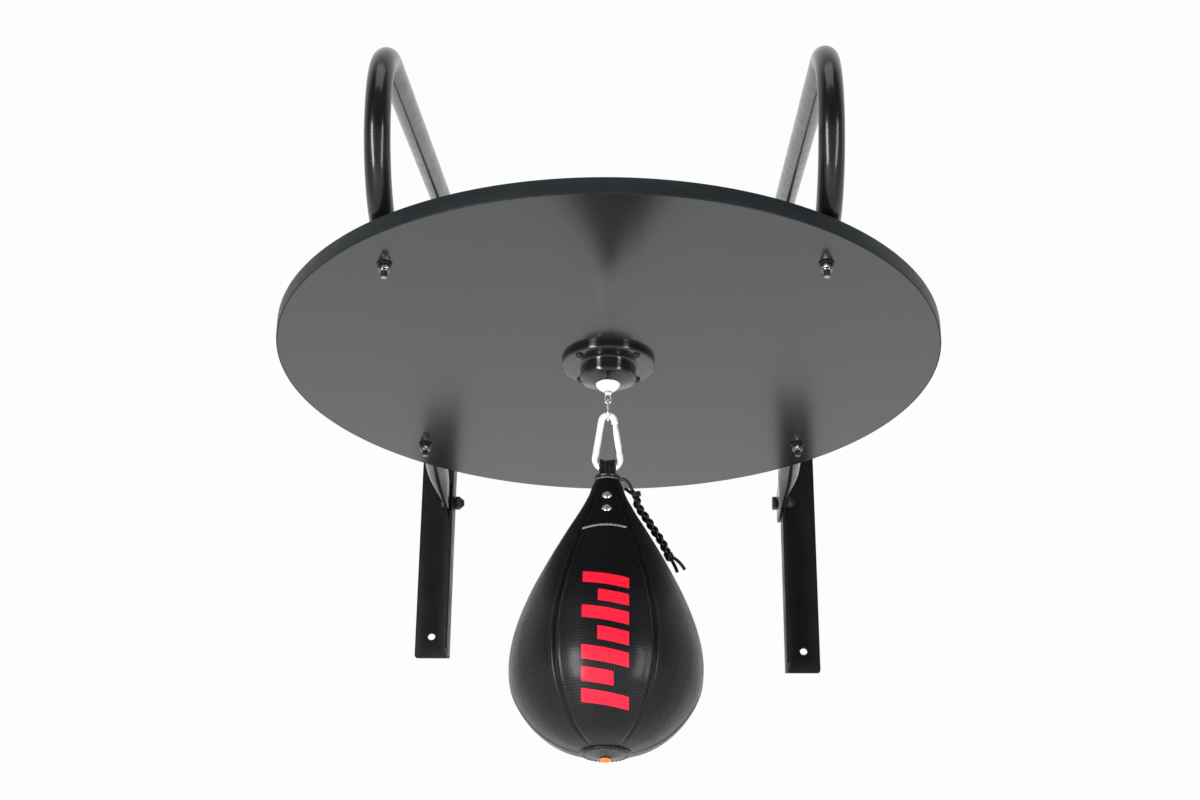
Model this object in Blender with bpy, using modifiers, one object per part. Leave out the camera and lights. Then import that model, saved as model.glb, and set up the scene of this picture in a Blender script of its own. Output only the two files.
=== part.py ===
"""Speed bag platform: a round board on two bent tube arms and two wall brackets, with swivel and bag.

X is to the right, Y goes into the wall and Z is up. The origin lies on the wall's face, midway
between the two arms and level with the underside of the board.
"""

import math

import bmesh
import bpy
from mathutils import Matrix, Vector

# Driving dimensions, in metres.
GAP = 0.0003                 # between pieces that touch
RUNNING = 0.0004             # round a pin or bolt in its hole

BOARD_DIA = 0.610
BOARD_THICK = 0.015
BOARD_TO_WALL = 0.430        # board's centre to the wall
BAND_THICK = 0.0012          # edge band round the board

ARM_SPACING = 0.374          # between the two arms' centre lines
TUBE_DIA = 0.022
TUBE_WALL = 0.0018
BEND_RADIUS = 0.076          # of the arm's front bend, on its centre line
BEND_AHEAD = 0.0182          # front board bolts to the start of the bend
ARM_RISE = math.radians(16.5)
TAB_INSET = 0.0047           # flat end's middle, in from the tube's centre line
TAB_TIP = 0.0060             # flat end to the wall
TAB_LENGTH = 0.034
TAB_EASE = 0.075             # from the flat end to the full round tube

BRACKET_LENGTH = 0.550
BRACKET_LEG = 0.038
BRACKET_THICK = 0.003
BRACKET_ABOVE = 0.040        # left bracket's top above the arm's upper bolt
RIGHT_DROP = 0.016           # how much lower the right bracket hangs
WALL_HOLE_DIA = 0.008
WALL_HOLE_INSET = 0.024      # from each end of the bracket
BRACKET_BOLT_Y = 0.0215      # bracket bolts to the wall

BOLT_INSET = 0.0398          # board bolts in from the board's edge
BOARD_BOLT = 0.006
BRACKET_BOLT = 0.008

FLANGE_DIA = 0.086
FLANGE_THICK = 0.0055
HOUSING_DIA = 0.052
HOUSING_DEPTH = 0.024        # its mouth below the board
SCREW_SQUARE = 0.052         # between the swivel's screws
SCREW_DIA = 0.004
BALL_DIA = 0.025
BALL_DROP = 0.0185           # ball's centre below the board
BALL_PLAY = 0.0004

EYE_WIRE = 0.0018
EYE_RADIUS = 0.0024
EYE_DROP = 0.0423            # middle of the eye's lowest wire
STEM_DIA = 0.0044
LINK_WIRE = 0.0024
LINK_RADIUS = 0.0050
LINK_DROP = 0.0590           # middle of the link's lowest wire

HOOK_WIRE = 0.0060
HOOK_TOP_RADIUS = 0.0060
HOOK_LOW_RADIUS = 0.01125
HOOK_DROP = 0.1089           # middle of the hook's lowest wire
GATE_DIA = 0.0056
GATE_SLOT = 0.0032
TONGUE_THICK = 0.0024
GATE_PIN = 0.0016

BAG_DIA = 0.170
BAG_LENGTH = 0.2525          # from the neck's rim to the bottom of the shell
BAG_DROP = 0.1220            # neck's rim below the board
BAG_WALL = 0.0022
NECK_RADIUS = 0.0118
BLADDER_WALL = 0.0012
STRAP_WIDTH = 0.013
STRAP_THICK = 0.0022
COLLAR_HEIGHT = 0.0056
CAP_RADIUS = 0.022
CAP_THICK = 0.0015
VALVE_RADIUS = 0.0050
RIVET_DIA = 0.0086
LACE_DIA = 0.0030

BAG_SIDES = 24               # flats round the bag and the pieces that fit it
CENTRE_Y = -BOARD_TO_WALL
TUBE_RADIUS = TUBE_DIA / 2
TUBE_Z = BOARD_THICK + GAP + TUBE_RADIUS
TAB_THICK = 2 * TUBE_WALL + 0.0006
TAB_X = ARM_SPACING / 2 - TAB_INSET
BOLT_AHEAD = math.sqrt((BOARD_DIA / 2 - BOLT_INSET) ** 2 - (ARM_SPACING / 2) ** 2)
HOOK_UP = HOOK_DROP - HOOK_LOW_RADIUS
LINK_TOP = EYE_DROP - EYE_WIRE / 2 - LINK_WIRE / 2 - GAP
HOOK_TOP = LINK_DROP - LINK_WIRE / 2 - HOOK_WIRE / 2 - GAP

for old in list(bpy.data.objects):
    bpy.data.objects.remove(old, do_unlink=True)

PARTS = bpy.data.collections.new("speed_bag_platform")
CUTTERS = bpy.data.collections.new("cutters")
for group in (PARTS, CUTTERS):
    bpy.context.scene.collection.children.link(group)


# ---------------------------------------------------------------- helpers

def material(name, colour, roughness, metallic=0.0):
    """A plain Principled material."""
    made = bpy.data.materials.new(name)
    made.use_nodes = True
    shader = made.node_tree.nodes["Principled BSDF"]
    shader.inputs["Base Color"].default_value = (*colour, 1.0)
    shader.inputs["Roughness"].default_value = roughness
    shader.inputs["Metallic"].default_value = metallic
    return made


BLACK_COAT = material("black powder coat", (0.012, 0.012, 0.013), 0.25)
SATIN_COAT = material("satin black coat", (0.012, 0.012, 0.014), 0.45)
LAMINATE = material("charcoal laminate", (0.035, 0.036, 0.038), 0.38)
BAND = material("edge band", (0.016, 0.018, 0.020), 0.5)
BLACK_STEEL = material("blackened steel", (0.02, 0.02, 0.02), 0.35, 0.8)
ZINC = material("bright zinc", (0.72, 0.73, 0.75), 0.22, 1.0)
NICKEL = material("nickel", (0.75, 0.73, 0.68), 0.15, 1.0)
NYLON = material("cream nylon", (0.83, 0.80, 0.70), 0.4)
BLACK_LEATHER = material("black leather", (0.012, 0.012, 0.012), 0.45)
RUBBER = material("black rubber", (0.02, 0.02, 0.02), 0.7)
ORANGE = material("orange rubber", (0.85, 0.25, 0.04), 0.5)


def add(name, mesh, look, group=PARTS):
    """Puts a mesh in the scene as a named object with one material."""
    made = bpy.data.objects.new(name, mesh)
    group.objects.link(made)
    if group is CUTTERS:
        made.hide_render = True
        made.display_type = "WIRE"
    if look:
        mesh.materials.clear()
        mesh.materials.append(look)
    return made


def mesh_from(bm, name, angle=35.0):
    """Finishes a bmesh as a smooth-shaded mesh with its sharp edges marked."""
    bmesh.ops.recalc_face_normals(bm, faces=bm.faces)
    mesh = bpy.data.meshes.new(name)
    bm.to_mesh(mesh)
    bm.free()
    mesh.shade_smooth()
    mesh.set_sharp_from_angle(angle=math.radians(angle))
    return mesh


def frozen(made):
    """The object with its curve or modifiers made into a plain mesh."""
    bpy.context.view_layer.update()
    graph = bpy.context.evaluated_depsgraph_get()
    mesh = bpy.data.meshes.new_from_object(made.evaluated_get(graph))
    bm = bmesh.new()
    bm.from_mesh(mesh)
    bmesh.ops.remove_doubles(bm, verts=bm.verts, dist=1e-6)
    solid = mesh_from(bm, made.name)
    look = made.data.materials[0] if made.data.materials else None
    name = made.name
    group = made.users_collection[0]
    place = made.matrix_world.copy()
    bpy.data.objects.remove(made, do_unlink=True)
    fresh = add(name, solid, look, group)
    fresh.name = name
    fresh.matrix_world = place
    return fresh


def boolean(made, other, operation="DIFFERENCE"):
    """Cuts with, or joins, another object, which ends up among the cutters."""
    step = made.modifiers.new(operation.lower(), "BOOLEAN")
    step.operation = operation
    step.object = other
    for group in list(other.users_collection):
        group.objects.unlink(other)
    CUTTERS.objects.link(other)
    other.hide_render = True
    other.display_type = "WIRE"
    return made


def rod_bm(bm, radius, low, high, segments=24):
    """Adds a cylinder between two points to a bmesh."""
    low, high = Vector(low), Vector(high)
    along = high - low
    turn = along.to_track_quat("Z", "Y").to_matrix().to_4x4()
    place = Matrix.Translation((low + high) / 2) @ turn
    bmesh.ops.create_cone(bm, cap_ends=True, segments=segments, radius1=radius, radius2=radius,
                          depth=along.length, matrix=place)


def rods(name, rows, look=None, group=CUTTERS, segments=24):
    """One object of several cylinders, each given as radius, low point, high point."""
    bm = bmesh.new()
    for radius, low, high in rows:
        rod_bm(bm, radius, low, high, segments)
    return add(name, mesh_from(bm, name), look, group)


def box_bm(bm, low, high):
    """Adds a box between two corners to a bmesh, and gives back its edges."""
    low, high = Vector(low), Vector(high)
    size = Matrix.Diagonal((*(high - low), 1.0))
    made = bmesh.ops.create_cube(bm, size=1.0, matrix=Matrix.Translation((low + high) / 2) @ size)
    return {edge for vert in made["verts"] for edge in vert.link_edges}


def box(name, low, high, look=None, group=CUTTERS):
    bm = bmesh.new()
    box_bm(bm, low, high)
    return add(name, mesh_from(bm, name), look, group)


def turned(name, profile, look, steps=32, closed=True, at=(0, 0, 0), group=PARTS):
    """A turned piece: (radius, height) points, down the outer side first, spun about Z."""
    bm = bmesh.new()
    verts = [bm.verts.new((radius, 0, height)) for radius, height in profile]
    for one, two in zip(verts, verts[1:]):
        bm.edges.new((one, two))
    if closed:
        bm.edges.new((verts[-1], verts[0]))
    mesh = bpy.data.meshes.new(name)
    bm.to_mesh(mesh)
    bm.free()
    made = add(name, mesh, look, group)
    spin = made.modifiers.new("spin", "SCREW")
    spin.steps = steps
    spin.render_steps = steps
    spin.use_merge_vertices = True
    spin.merge_threshold = 1e-5
    spin.use_normal_calculate = True
    made.location = at
    return frozen(made)


def wire(name, points, radius, look, cyclic=False, sides=3, group=PARTS):
    """A round wire along a polyline."""
    curve = bpy.data.curves.new(name, "CURVE")
    curve.dimensions = "3D"
    curve.bevel_depth = radius
    curve.bevel_resolution = sides
    curve.use_fill_caps = True
    spline = curve.splines.new("POLY")
    spline.points.add(len(points) - 1)
    for spot, place in zip(spline.points, points):
        spot.co = (*place, 1.0)
    spline.use_cyclic_u = cyclic
    made = bpy.data.objects.new(name, curve)
    group.objects.link(made)
    curve.materials.append(look)
    return frozen(made)


def arc(middle, radius, start, end, count):
    """Points (u, v) on an arc, angles in degrees."""
    turn = [math.radians(start + (end - start) * k / count) for k in range(count + 1)]
    return [(middle[0] + radius * math.cos(a), middle[1] + radius * math.sin(a)) for a in turn]


def smooth(points, count):
    """A Catmull-Rom curve through hand-chosen points, with count steps between two of them."""
    spots = [Vector(p) for p in points]
    ends = [2 * spots[0] - spots[1], *spots, 2 * spots[-1] - spots[-2]]
    line = []
    for before, one, two, after in zip(ends, ends[1:], ends[2:], ends[3:]):
        for k in range(count):
            t = k / count
            line.append(0.5 * (2 * one + (two - before) * t
                               + (2 * before - 5 * one + 4 * two - after) * t ** 2
                               + (3 * one - before - 3 * two + after) * t ** 3))
    return [*line, spots[-1]]


def copies(names, mesh, look, places, turn=None):
    """Objects that share one mesh, each at its own place."""
    made = []
    for name, place in zip(names, places):
        piece = add(name, mesh, look)
        piece.location = place
        if turn:
            piece.rotation_euler = turn
        made.append(piece)
    return made


def origin_to(made, spot):
    """Puts an object's origin on its joint's axis, with its shape left where it is."""
    bpy.context.view_layer.update()
    shift = made.matrix_world.inverted() @ Vector(spot)
    made.data.transform(Matrix.Translation(-shift))
    made.matrix_world = made.matrix_world @ Matrix.Translation(shift)


# ---------------------------------------------------------------- arms and brackets

def arm_stations():
    """(y, z, heading, flatness) along one arm, from its lower flat end to its upper one."""
    eased = [0.0, 0.2, 0.45, 0.7, 1.0]
    rows = [(-TAB_TIP, TUBE_Z, math.pi, 1.0)]
    for share in eased:
        rows.append((-TAB_TIP - TAB_LENGTH - TAB_EASE * share, TUBE_Z, math.pi, 1 - share))
    bend_y = CENTRE_Y - BOLT_AHEAD - BEND_AHEAD
    bend_z = TUBE_Z + BEND_RADIUS
    sweep = math.pi - ARM_RISE
    steps = 12
    for k in range(steps + 1):
        turn = sweep * k / steps
        rows.append((bend_y - BEND_RADIUS * math.sin(turn), bend_z - BEND_RADIUS * math.cos(turn),
                     math.pi - turn, 0.0))
    start_y, start_z = rows[-1][:2]
    run = (-start_y - TAB_TIP) / math.cos(ARM_RISE) - flat_height() / 2 * math.tan(ARM_RISE)
    for share in reversed(eased):
        along = run - TAB_LENGTH - TAB_EASE * share
        rows.append((start_y + along * math.cos(ARM_RISE), start_z + along * math.sin(ARM_RISE),
                     ARM_RISE, 1 - share))
    rows.append((start_y + run * math.cos(ARM_RISE), start_z + run * math.sin(ARM_RISE),
                 ARM_RISE, 1.0))
    return rows


def flat_height():
    """Height of the tube's end once pressed flat, its wall's middle line keeping its length."""
    return math.pi * (TUBE_DIA - TUBE_WALL) / 2 + TUBE_WALL


def upper_bolt():
    """(y, z) of the arm's upper bolt, on the arm's centre line."""
    tip_y, tip_z = arm_stations()[-1][:2]
    back = BRACKET_BOLT_Y + tip_y
    return -BRACKET_BOLT_Y, tip_z - back * math.tan(ARM_RISE)


def section(flat, inset, sides):
    """(across, up) points of the tube's section: round, or pressed flat, or between."""
    radius = TUBE_RADIUS - inset
    half_thick = TAB_THICK / 2 - inset
    half_high = flat_height() / 2 - inset
    points = []
    for k in range(sides):
        turn = 2 * math.pi * (k + 0.5) / sides
        side, up = math.cos(turn), math.sin(turn)
        straight = (half_high - half_thick) * max(-1.0, min(1.0, 2.2 * up))
        points.append((radius * side * (1 - flat) + half_thick * side * flat,
                       radius * up * (1 - flat) + (straight + half_thick * up) * flat))
    return points


def arm(name, side):
    """One bent arm: a tube whose two ends are pressed flat, drilled for its bolts."""
    sides = 12
    bm = bmesh.new()
    loops = {}
    for inset in (0.0, TUBE_WALL):
        loops[inset] = []
        for y, z, heading, flat in arm_stations():
            ease = flat * flat * (3 - 2 * flat)
            across_to = side * (ARM_SPACING / 2 - TAB_INSET * ease)
            up = (math.sin(heading), -math.cos(heading))
            ring = [bm.verts.new((across_to + across, y + high * up[0], z + high * up[1]))
                    for across, high in section(ease, inset, sides)]
            loops[inset].append(ring)
    skin, bore = loops[0.0], loops[TUBE_WALL]
    for rings in (skin, bore):
        for one, two in zip(rings, rings[1:]):
            for k in range(sides):
                after = (k + 1) % sides
                bm.faces.new((one[k], one[after], two[after], two[k]))
    for end in (0, -1):
        for k in range(sides):
            after = (k + 1) % sides
            bm.faces.new((skin[end][k], skin[end][after], bore[end][after], bore[end][k]))
    made = add(name, mesh_from(bm, name), BLACK_COAT)
    hole = BOARD_BOLT / 2 + RUNNING
    bolt_x = side * ARM_SPACING / 2
    drills = [(hole, (bolt_x, y, BOARD_THICK - 0.01), (bolt_x, y, BOARD_THICK + TUBE_DIA + 0.01))
              for y in board_bolt_rows()]
    for y, z in ((-BRACKET_BOLT_Y, TUBE_Z), upper_bolt()):
        tab = side * TAB_X
        drills.append((BRACKET_BOLT / 2 + RUNNING, (tab - 0.01, y, z), (tab + 0.01, y, z)))
    return boolean(made, rods(name + "_drills", drills, segments=12))


def board_bolt_rows():
    """y of the front and the rear board bolts."""
    return CENTRE_Y - BOLT_AHEAD, CENTRE_Y + BOLT_AHEAD


def leg_face(side):
    """x of the bracket leg's left face, against the arm's flat end on its left."""
    return side * TAB_X + TAB_THICK / 2 + GAP


def bracket(name, side):
    """A wall bracket: an angle iron with one flange on the wall and one leg out to the arm."""
    corner = leg_face(side) + (BRACKET_THICK if side < 0 else 0.0)
    top = upper_bolt()[1] + BRACKET_ABOVE - (RIGHT_DROP if side > 0 else 0.0)
    low = top - BRACKET_LENGTH
    inward = side * BRACKET_THICK
    outline = [(corner, 0), (corner + side * BRACKET_LEG, 0),
               (corner + side * BRACKET_LEG, -BRACKET_THICK),
               (corner + 2 * inward, -BRACKET_THICK), (corner + inward, -2 * BRACKET_THICK),
               (corner + inward, -BRACKET_LEG), (corner, -BRACKET_LEG)]
    bm = bmesh.new()
    face = bm.faces.new([bm.verts.new((x, y, low)) for x, y in outline])
    grown = bmesh.ops.extrude_face_region(bm, geom=[face])
    raised = [v for v in grown["geom"] if isinstance(v, bmesh.types.BMVert)]
    bmesh.ops.translate(bm, verts=raised, vec=(0, 0, BRACKET_LENGTH))
    bmesh.ops.recalc_face_normals(bm, faces=bm.faces)
    made = add(name, mesh_from(bm, name), SATIN_COAT)
    hole_x = wall_hole_x(side)
    drills = [(WALL_HOLE_DIA / 2, (hole_x, -0.01, z), (hole_x, 0.01, z))
              for z in (low + WALL_HOLE_INSET, top - WALL_HOLE_INSET)]
    for y, z in ((-BRACKET_BOLT_Y, TUBE_Z), upper_bolt()):
        drills.append((BRACKET_BOLT / 2 + RUNNING, (corner - 0.01, y, z), (corner + 0.01, y, z)))
    return boolean(made, rods(name + "_drills", drills, segments=16))


def wall_hole_x(side):
    """x of the wall holes, in the middle of the flange's clear width."""
    corner = leg_face(side) + (BRACKET_THICK if side < 0 else 0.0)
    return corner + side * (BRACKET_LEG + BRACKET_THICK) / 2


# ---------------------------------------------------------------- fasteners

def hex_prism(name, across_flats, low, high, group=PARTS, look=BLACK_STEEL):
    """A six-sided prism along Z with slightly worn corners."""
    bm = bmesh.new()
    depth = high - low
    bmesh.ops.create_cone(bm, cap_ends=True, segments=6, radius1=across_flats / math.sqrt(3),
                          radius2=across_flats / math.sqrt(3), depth=depth,
                          matrix=Matrix.Translation((0, 0, (low + high) / 2)))
    return add(name, mesh_from(bm, name), look, group)


def hex_bolt_mesh(name, size, across_flats, head, length):
    """A hexagon bolt's mesh, its head above z = 0 and its shank below."""
    made = hex_prism(name, across_flats, 0.0, head)
    shank = rods(name + "_shank", [(size / 2, (0, 0, -length), (0, 0, head / 2))], segments=12)
    return take_mesh(boolean(made, shank, "UNION"))


def nut_mesh(name, size, across_flats, height):
    """A nut with a rounded locking ring above its hexagon, resting on z = 0."""
    made = hex_prism(name, across_flats, 0.0, height * 0.7)
    ring = rods(name + "_ring", [(across_flats * 0.43, (0, 0, height * 0.5), (0, 0, height))],
                segments=16)
    bore = rods(name + "_bore", [(size / 2 + GAP, (0, 0, -0.01), (0, 0, height + 0.01))],
                segments=12)
    boolean(made, ring, "UNION")
    return take_mesh(boolean(made, bore))


def take_mesh(made):
    """The evaluated mesh of an object, whose object is then removed."""
    bpy.context.view_layer.update()
    graph = bpy.context.evaluated_depsgraph_get()
    mesh = bpy.data.meshes.new_from_object(made.evaluated_get(graph))
    bpy.data.objects.remove(made, do_unlink=True)
    return mesh


def washer_mesh(name, size, outer, thick):
    """A flat washer's mesh, resting on z = 0."""
    inner = size / 2 + RUNNING
    made = turned(name, [(outer / 2, thick), (outer / 2, 0), (inner, 0), (inner, thick)],
                  BLACK_STEEL, steps=16)
    return take_mesh(made)


CORNERS = [("left_front", -1, 0), ("right_front", 1, 0), ("left_rear", -1, 1), ("right_rear", 1, 1)]
WASHER_THICK = 0.0012
M6_HEAD, M6_NUT = 0.004, 0.006
M8_HEAD, M8_NUT = 0.0053, 0.0075


def board_fasteners():
    """Four bolts down through arm and board, each with a washer and a nut underneath."""
    spots = [(side * ARM_SPACING / 2, board_bolt_rows()[row]) for _, side, row in CORNERS]
    names = [name for name, _, _ in CORNERS]
    top = BOARD_THICK + TUBE_DIA + 2 * GAP
    below = GAP + WASHER_THICK + GAP + M6_NUT + 0.0050
    bolt = hex_bolt_mesh("board_bolt", BOARD_BOLT, 0.010, M6_HEAD, top + below)
    washer = washer_mesh("board_washer", BOARD_BOLT, 0.0135, WASHER_THICK)
    nut = nut_mesh("board_nut", BOARD_BOLT, 0.010, M6_NUT)
    copies([f"board_bolt_{n}" for n in names], bolt, BLACK_STEEL, [(x, y, top) for x, y in spots])
    copies([f"board_washer_{n}" for n in names], washer, BLACK_STEEL,
           [(x, y, -GAP - WASHER_THICK) for x, y in spots])
    nut_z = -2 * GAP - WASHER_THICK
    copies([f"board_nut_{n}" for n in names], nut, BLACK_STEEL,
           [(x, y, nut_z) for x, y in spots], (math.pi, 0, 0))


def bracket_fasteners():
    """Four cross bolts, put in from the left, that hold the arms' flat ends to the brackets."""
    bolt_under_head = TAB_THICK + GAP + BRACKET_THICK
    length = bolt_under_head + 2 * GAP + WASHER_THICK + GAP + M8_NUT + 0.0020
    bolt = hex_bolt_mesh("bracket_bolt", BRACKET_BOLT, 0.013, M8_HEAD, length)
    washer = washer_mesh("bracket_washer", BRACKET_BOLT, 0.016, WASHER_THICK)
    nut = nut_mesh("bracket_nut", BRACKET_BOLT, 0.013, M8_NUT)
    for label, side in (("left", -1), ("right", 1)):
        for level, (y, z) in (("lower", (-BRACKET_BOLT_Y, TUBE_Z)), ("upper", upper_bolt())):
            head_x = side * TAB_X - TAB_THICK / 2 - GAP
            far_x = leg_face(side) + BRACKET_THICK + GAP
            tail = f"{label}_{level}"
            copies([f"bracket_bolt_{tail}"], bolt, BLACK_STEEL, [(head_x, y, z)],
                   (0, -math.pi / 2, 0))
            copies([f"bracket_washer_{tail}"], washer, BLACK_STEEL, [(far_x, y, z)],
                   (0, math.pi / 2, 0))
            copies([f"bracket_nut_{tail}"], nut, BLACK_STEEL,
                   [(far_x + WASHER_THICK + GAP, y, z)], (0, math.pi / 2, 0))


# ---------------------------------------------------------------- board

def board():
    """The round board and the band glued round its edge."""
    core = BOARD_DIA / 2 - BAND_THICK - GAP
    made = rods("board", [(core, (0, CENTRE_Y, 0), (0, CENTRE_Y, BOARD_THICK))], LAMINATE, PARTS, 72)
    drills = [(BOARD_BOLT / 2 + RUNNING, (side * ARM_SPACING / 2, y, -0.01),
               (side * ARM_SPACING / 2, y, BOARD_THICK + 0.01))
              for side in (-1, 1) for y in board_bolt_rows()]
    drills += [(SCREW_DIA / 2 + GAP, (x, y, -0.01), (x, y, BOARD_THICK - 0.003))
               for x, y in screw_spots()]
    boolean(made, rods("board_drills", drills, segments=16))
    outer, inner, low, high = BOARD_DIA / 2, BOARD_DIA / 2 - BAND_THICK, 0.0, BOARD_THICK
    turned("board_edge_band", [(outer, high), (outer, low), (inner, low), (inner, high)], BAND,
           72, at=(0, CENTRE_Y, 0))


# ---------------------------------------------------------------- swivel

def screw_spots():
    """(x, y) of the swivel's four screws."""
    half = SCREW_SQUARE / 2
    return [(x, CENTRE_Y + y) for y in (-half, half) for x in (-half, half)]


def swivel():
    """The flanged housing, its ball seat and its four screws."""
    rim, wall = FLANGE_DIA / 2, HOUSING_DIA / 2
    mouth = BALL_DIA / 2 - 0.0008
    face = -GAP - FLANGE_THICK
    seat_r = BALL_DIA / 2 + 0.0027
    profile = [(rim, -GAP), (rim, face + 0.0022), (rim - 0.0008, face + 0.0008), (rim - 0.0024, face),
               (wall + 0.0015, face), (wall, face - 0.0015),
               (wall, -HOUSING_DEPTH + 0.0068), (wall - 0.0008, -HOUSING_DEPTH + 0.0046),
               (wall - 0.0034, -HOUSING_DEPTH + 0.0031), (mouth, -HOUSING_DEPTH),
               (mouth + 0.0008, -HOUSING_DEPTH + 0.0022), (seat_r + GAP, -HOUSING_DEPTH + 0.0022),
               (seat_r + GAP, -GAP)]
    housing = turned("swivel_housing", profile, BLACK_COAT, 30, at=(0, CENTRE_Y, 0))
    hole = SCREW_DIA / 2 + GAP
    boolean(housing, rods("swivel_drills", [(hole, (x, y, 0.01), (x, y, -0.0099))
                                            for x, y in screw_spots()], segments=16))
    play = BALL_DIA / 2 + BALL_PLAY
    low = -HOUSING_DEPTH + 0.0022 + GAP
    high = -0.0012
    inside = arc((0, -BALL_DROP), play, math.degrees(math.asin((low + BALL_DROP) / play)), 42, 6)
    profile = [(seat_r, high), (seat_r, low), *inside, (inside[-1][0], high)]
    turned("ball_seat", profile, NYLON, 24, at=(0, CENTRE_Y, 0))
    head = [(0.0036, 0.0), (0.0036, -0.0005), (0.0024, -0.0017), (0.0, -0.0020)]
    shank = SCREW_DIA / 2
    tip = FLANGE_THICK + BOARD_THICK - 0.0050
    profile = [(0, tip), (shank, tip - 0.003), (shank, 0.0), *head]
    mesh = take_mesh(turned("swivel_screw", profile, BLACK_STEEL, 12, closed=False))
    copies([f"swivel_screw_{k + 1}" for k in range(4)], mesh, BLACK_STEEL,
           [(x, y, face - GAP) for x, y in screw_spots()])


def ball_and_eye():
    """The nylon ball, bored for the eye's stem, and the eye with its head above the ball."""
    radius, bore = BALL_DIA / 2, STEM_DIA / 2 + RUNNING
    flat = 0.0090
    low = math.degrees(math.acos(bore / radius))
    high = math.degrees(math.asin(flat / radius))
    skin = arc((0, 0), radius, high, -low, 10)
    ball = turned("swivel_ball", [(bore, flat), *skin], NYLON, 24, at=(0, CENTRE_Y, -BALL_DROP))
    stem, head = STEM_DIA / 2, 0.0045
    under = -BALL_DROP - radius
    top = -BALL_DROP + flat + GAP
    collar = EYE_RADIUS + EYE_WIRE / 2 + 0.0002
    profile = [(0, top + 0.002), (head - 0.0005, top + 0.002), (head, top + 0.0012), (head, top),
               (stem, top), (stem, under - GAP), (collar, under - GAP - 0.0002),
               (collar, under - GAP - 0.0012), (0, under - GAP - 0.0020)]
    eye = turned("swivel_eye", profile, NICKEL, 16, closed=False, at=(0, CENTRE_Y, 0))
    bend = arc((0, -EYE_DROP + EYE_RADIUS), EYE_RADIUS, 180, 360, 8)
    top_z = under - GAP - 0.0008
    line = [(-EYE_RADIUS, top_z), *bend, (EYE_RADIUS, top_z)]
    loop = wire("swivel_eye_wire", [(x, CENTRE_Y, z) for x, z in line], EYE_WIRE / 2, NICKEL)
    eye = take_into("swivel_eye", boolean(eye, loop, "UNION"), NICKEL)
    origin_to(eye, (0, CENTRE_Y, -BALL_DROP))
    return ball, eye


def take_into(name, made, look):
    """Applies an object's modifiers and keeps its name."""
    place = made.matrix_world.copy()
    mesh = take_mesh(made)
    fresh = add(name, mesh, look)
    fresh.name = name
    fresh.matrix_world = place
    return fresh


def link_ring():
    """The oval link between the eye and the snap hook, lying in the YZ plane."""
    high, low = -LINK_TOP - LINK_RADIUS, -LINK_DROP + LINK_RADIUS
    line = arc((0, high), LINK_RADIUS, 0, 180, 9) + arc((0, low), LINK_RADIUS, 180, 360, 9)
    ring = wire("link_ring", [(0, CENTRE_Y + y, z) for y, z in line], LINK_WIRE / 2, NICKEL, True)
    origin_to(ring, (0, CENTRE_Y, -EYE_DROP))


# ---------------------------------------------------------------- snap hook

def hook_tangent():
    """Angle of the hook's straight sides, and the ends (x, z) of its right one."""
    high, low = -HOOK_TOP - HOOK_TOP_RADIUS, -HOOK_UP
    lean = math.asin((HOOK_LOW_RADIUS - HOOK_TOP_RADIUS) / (high - low))
    normal = Vector((math.cos(lean), math.sin(lean)))
    top = Vector((0, high)) + HOOK_TOP_RADIUS * normal
    bottom = Vector((0, low)) + HOOK_LOW_RADIUS * normal
    return lean, top, bottom


PIVOT_DOWN = 0.0078          # gate's pin below the top of the hook's straight side
NOSE_UP = 0.0034             # gate's foot above the bottom of the straight side
BORE_DEPTH = 0.020           # of the gate, for its spring


def hook_pivot():
    lean, top, bottom = hook_tangent()
    spot = top + (bottom - top).normalized() * PIVOT_DOWN
    return Vector((spot.x, CENTRE_Y, spot.y))


def gate_length():
    _, top, bottom = hook_tangent()
    return (bottom - top).length - PIVOT_DOWN - NOSE_UP


def gate_place():
    """Matrix from the gate's own frame, pin at its origin and foot towards -Z, to the world."""
    return Matrix.Translation(hook_pivot()) @ Matrix.Rotation(-hook_tangent()[0], 4, "Y")


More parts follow.
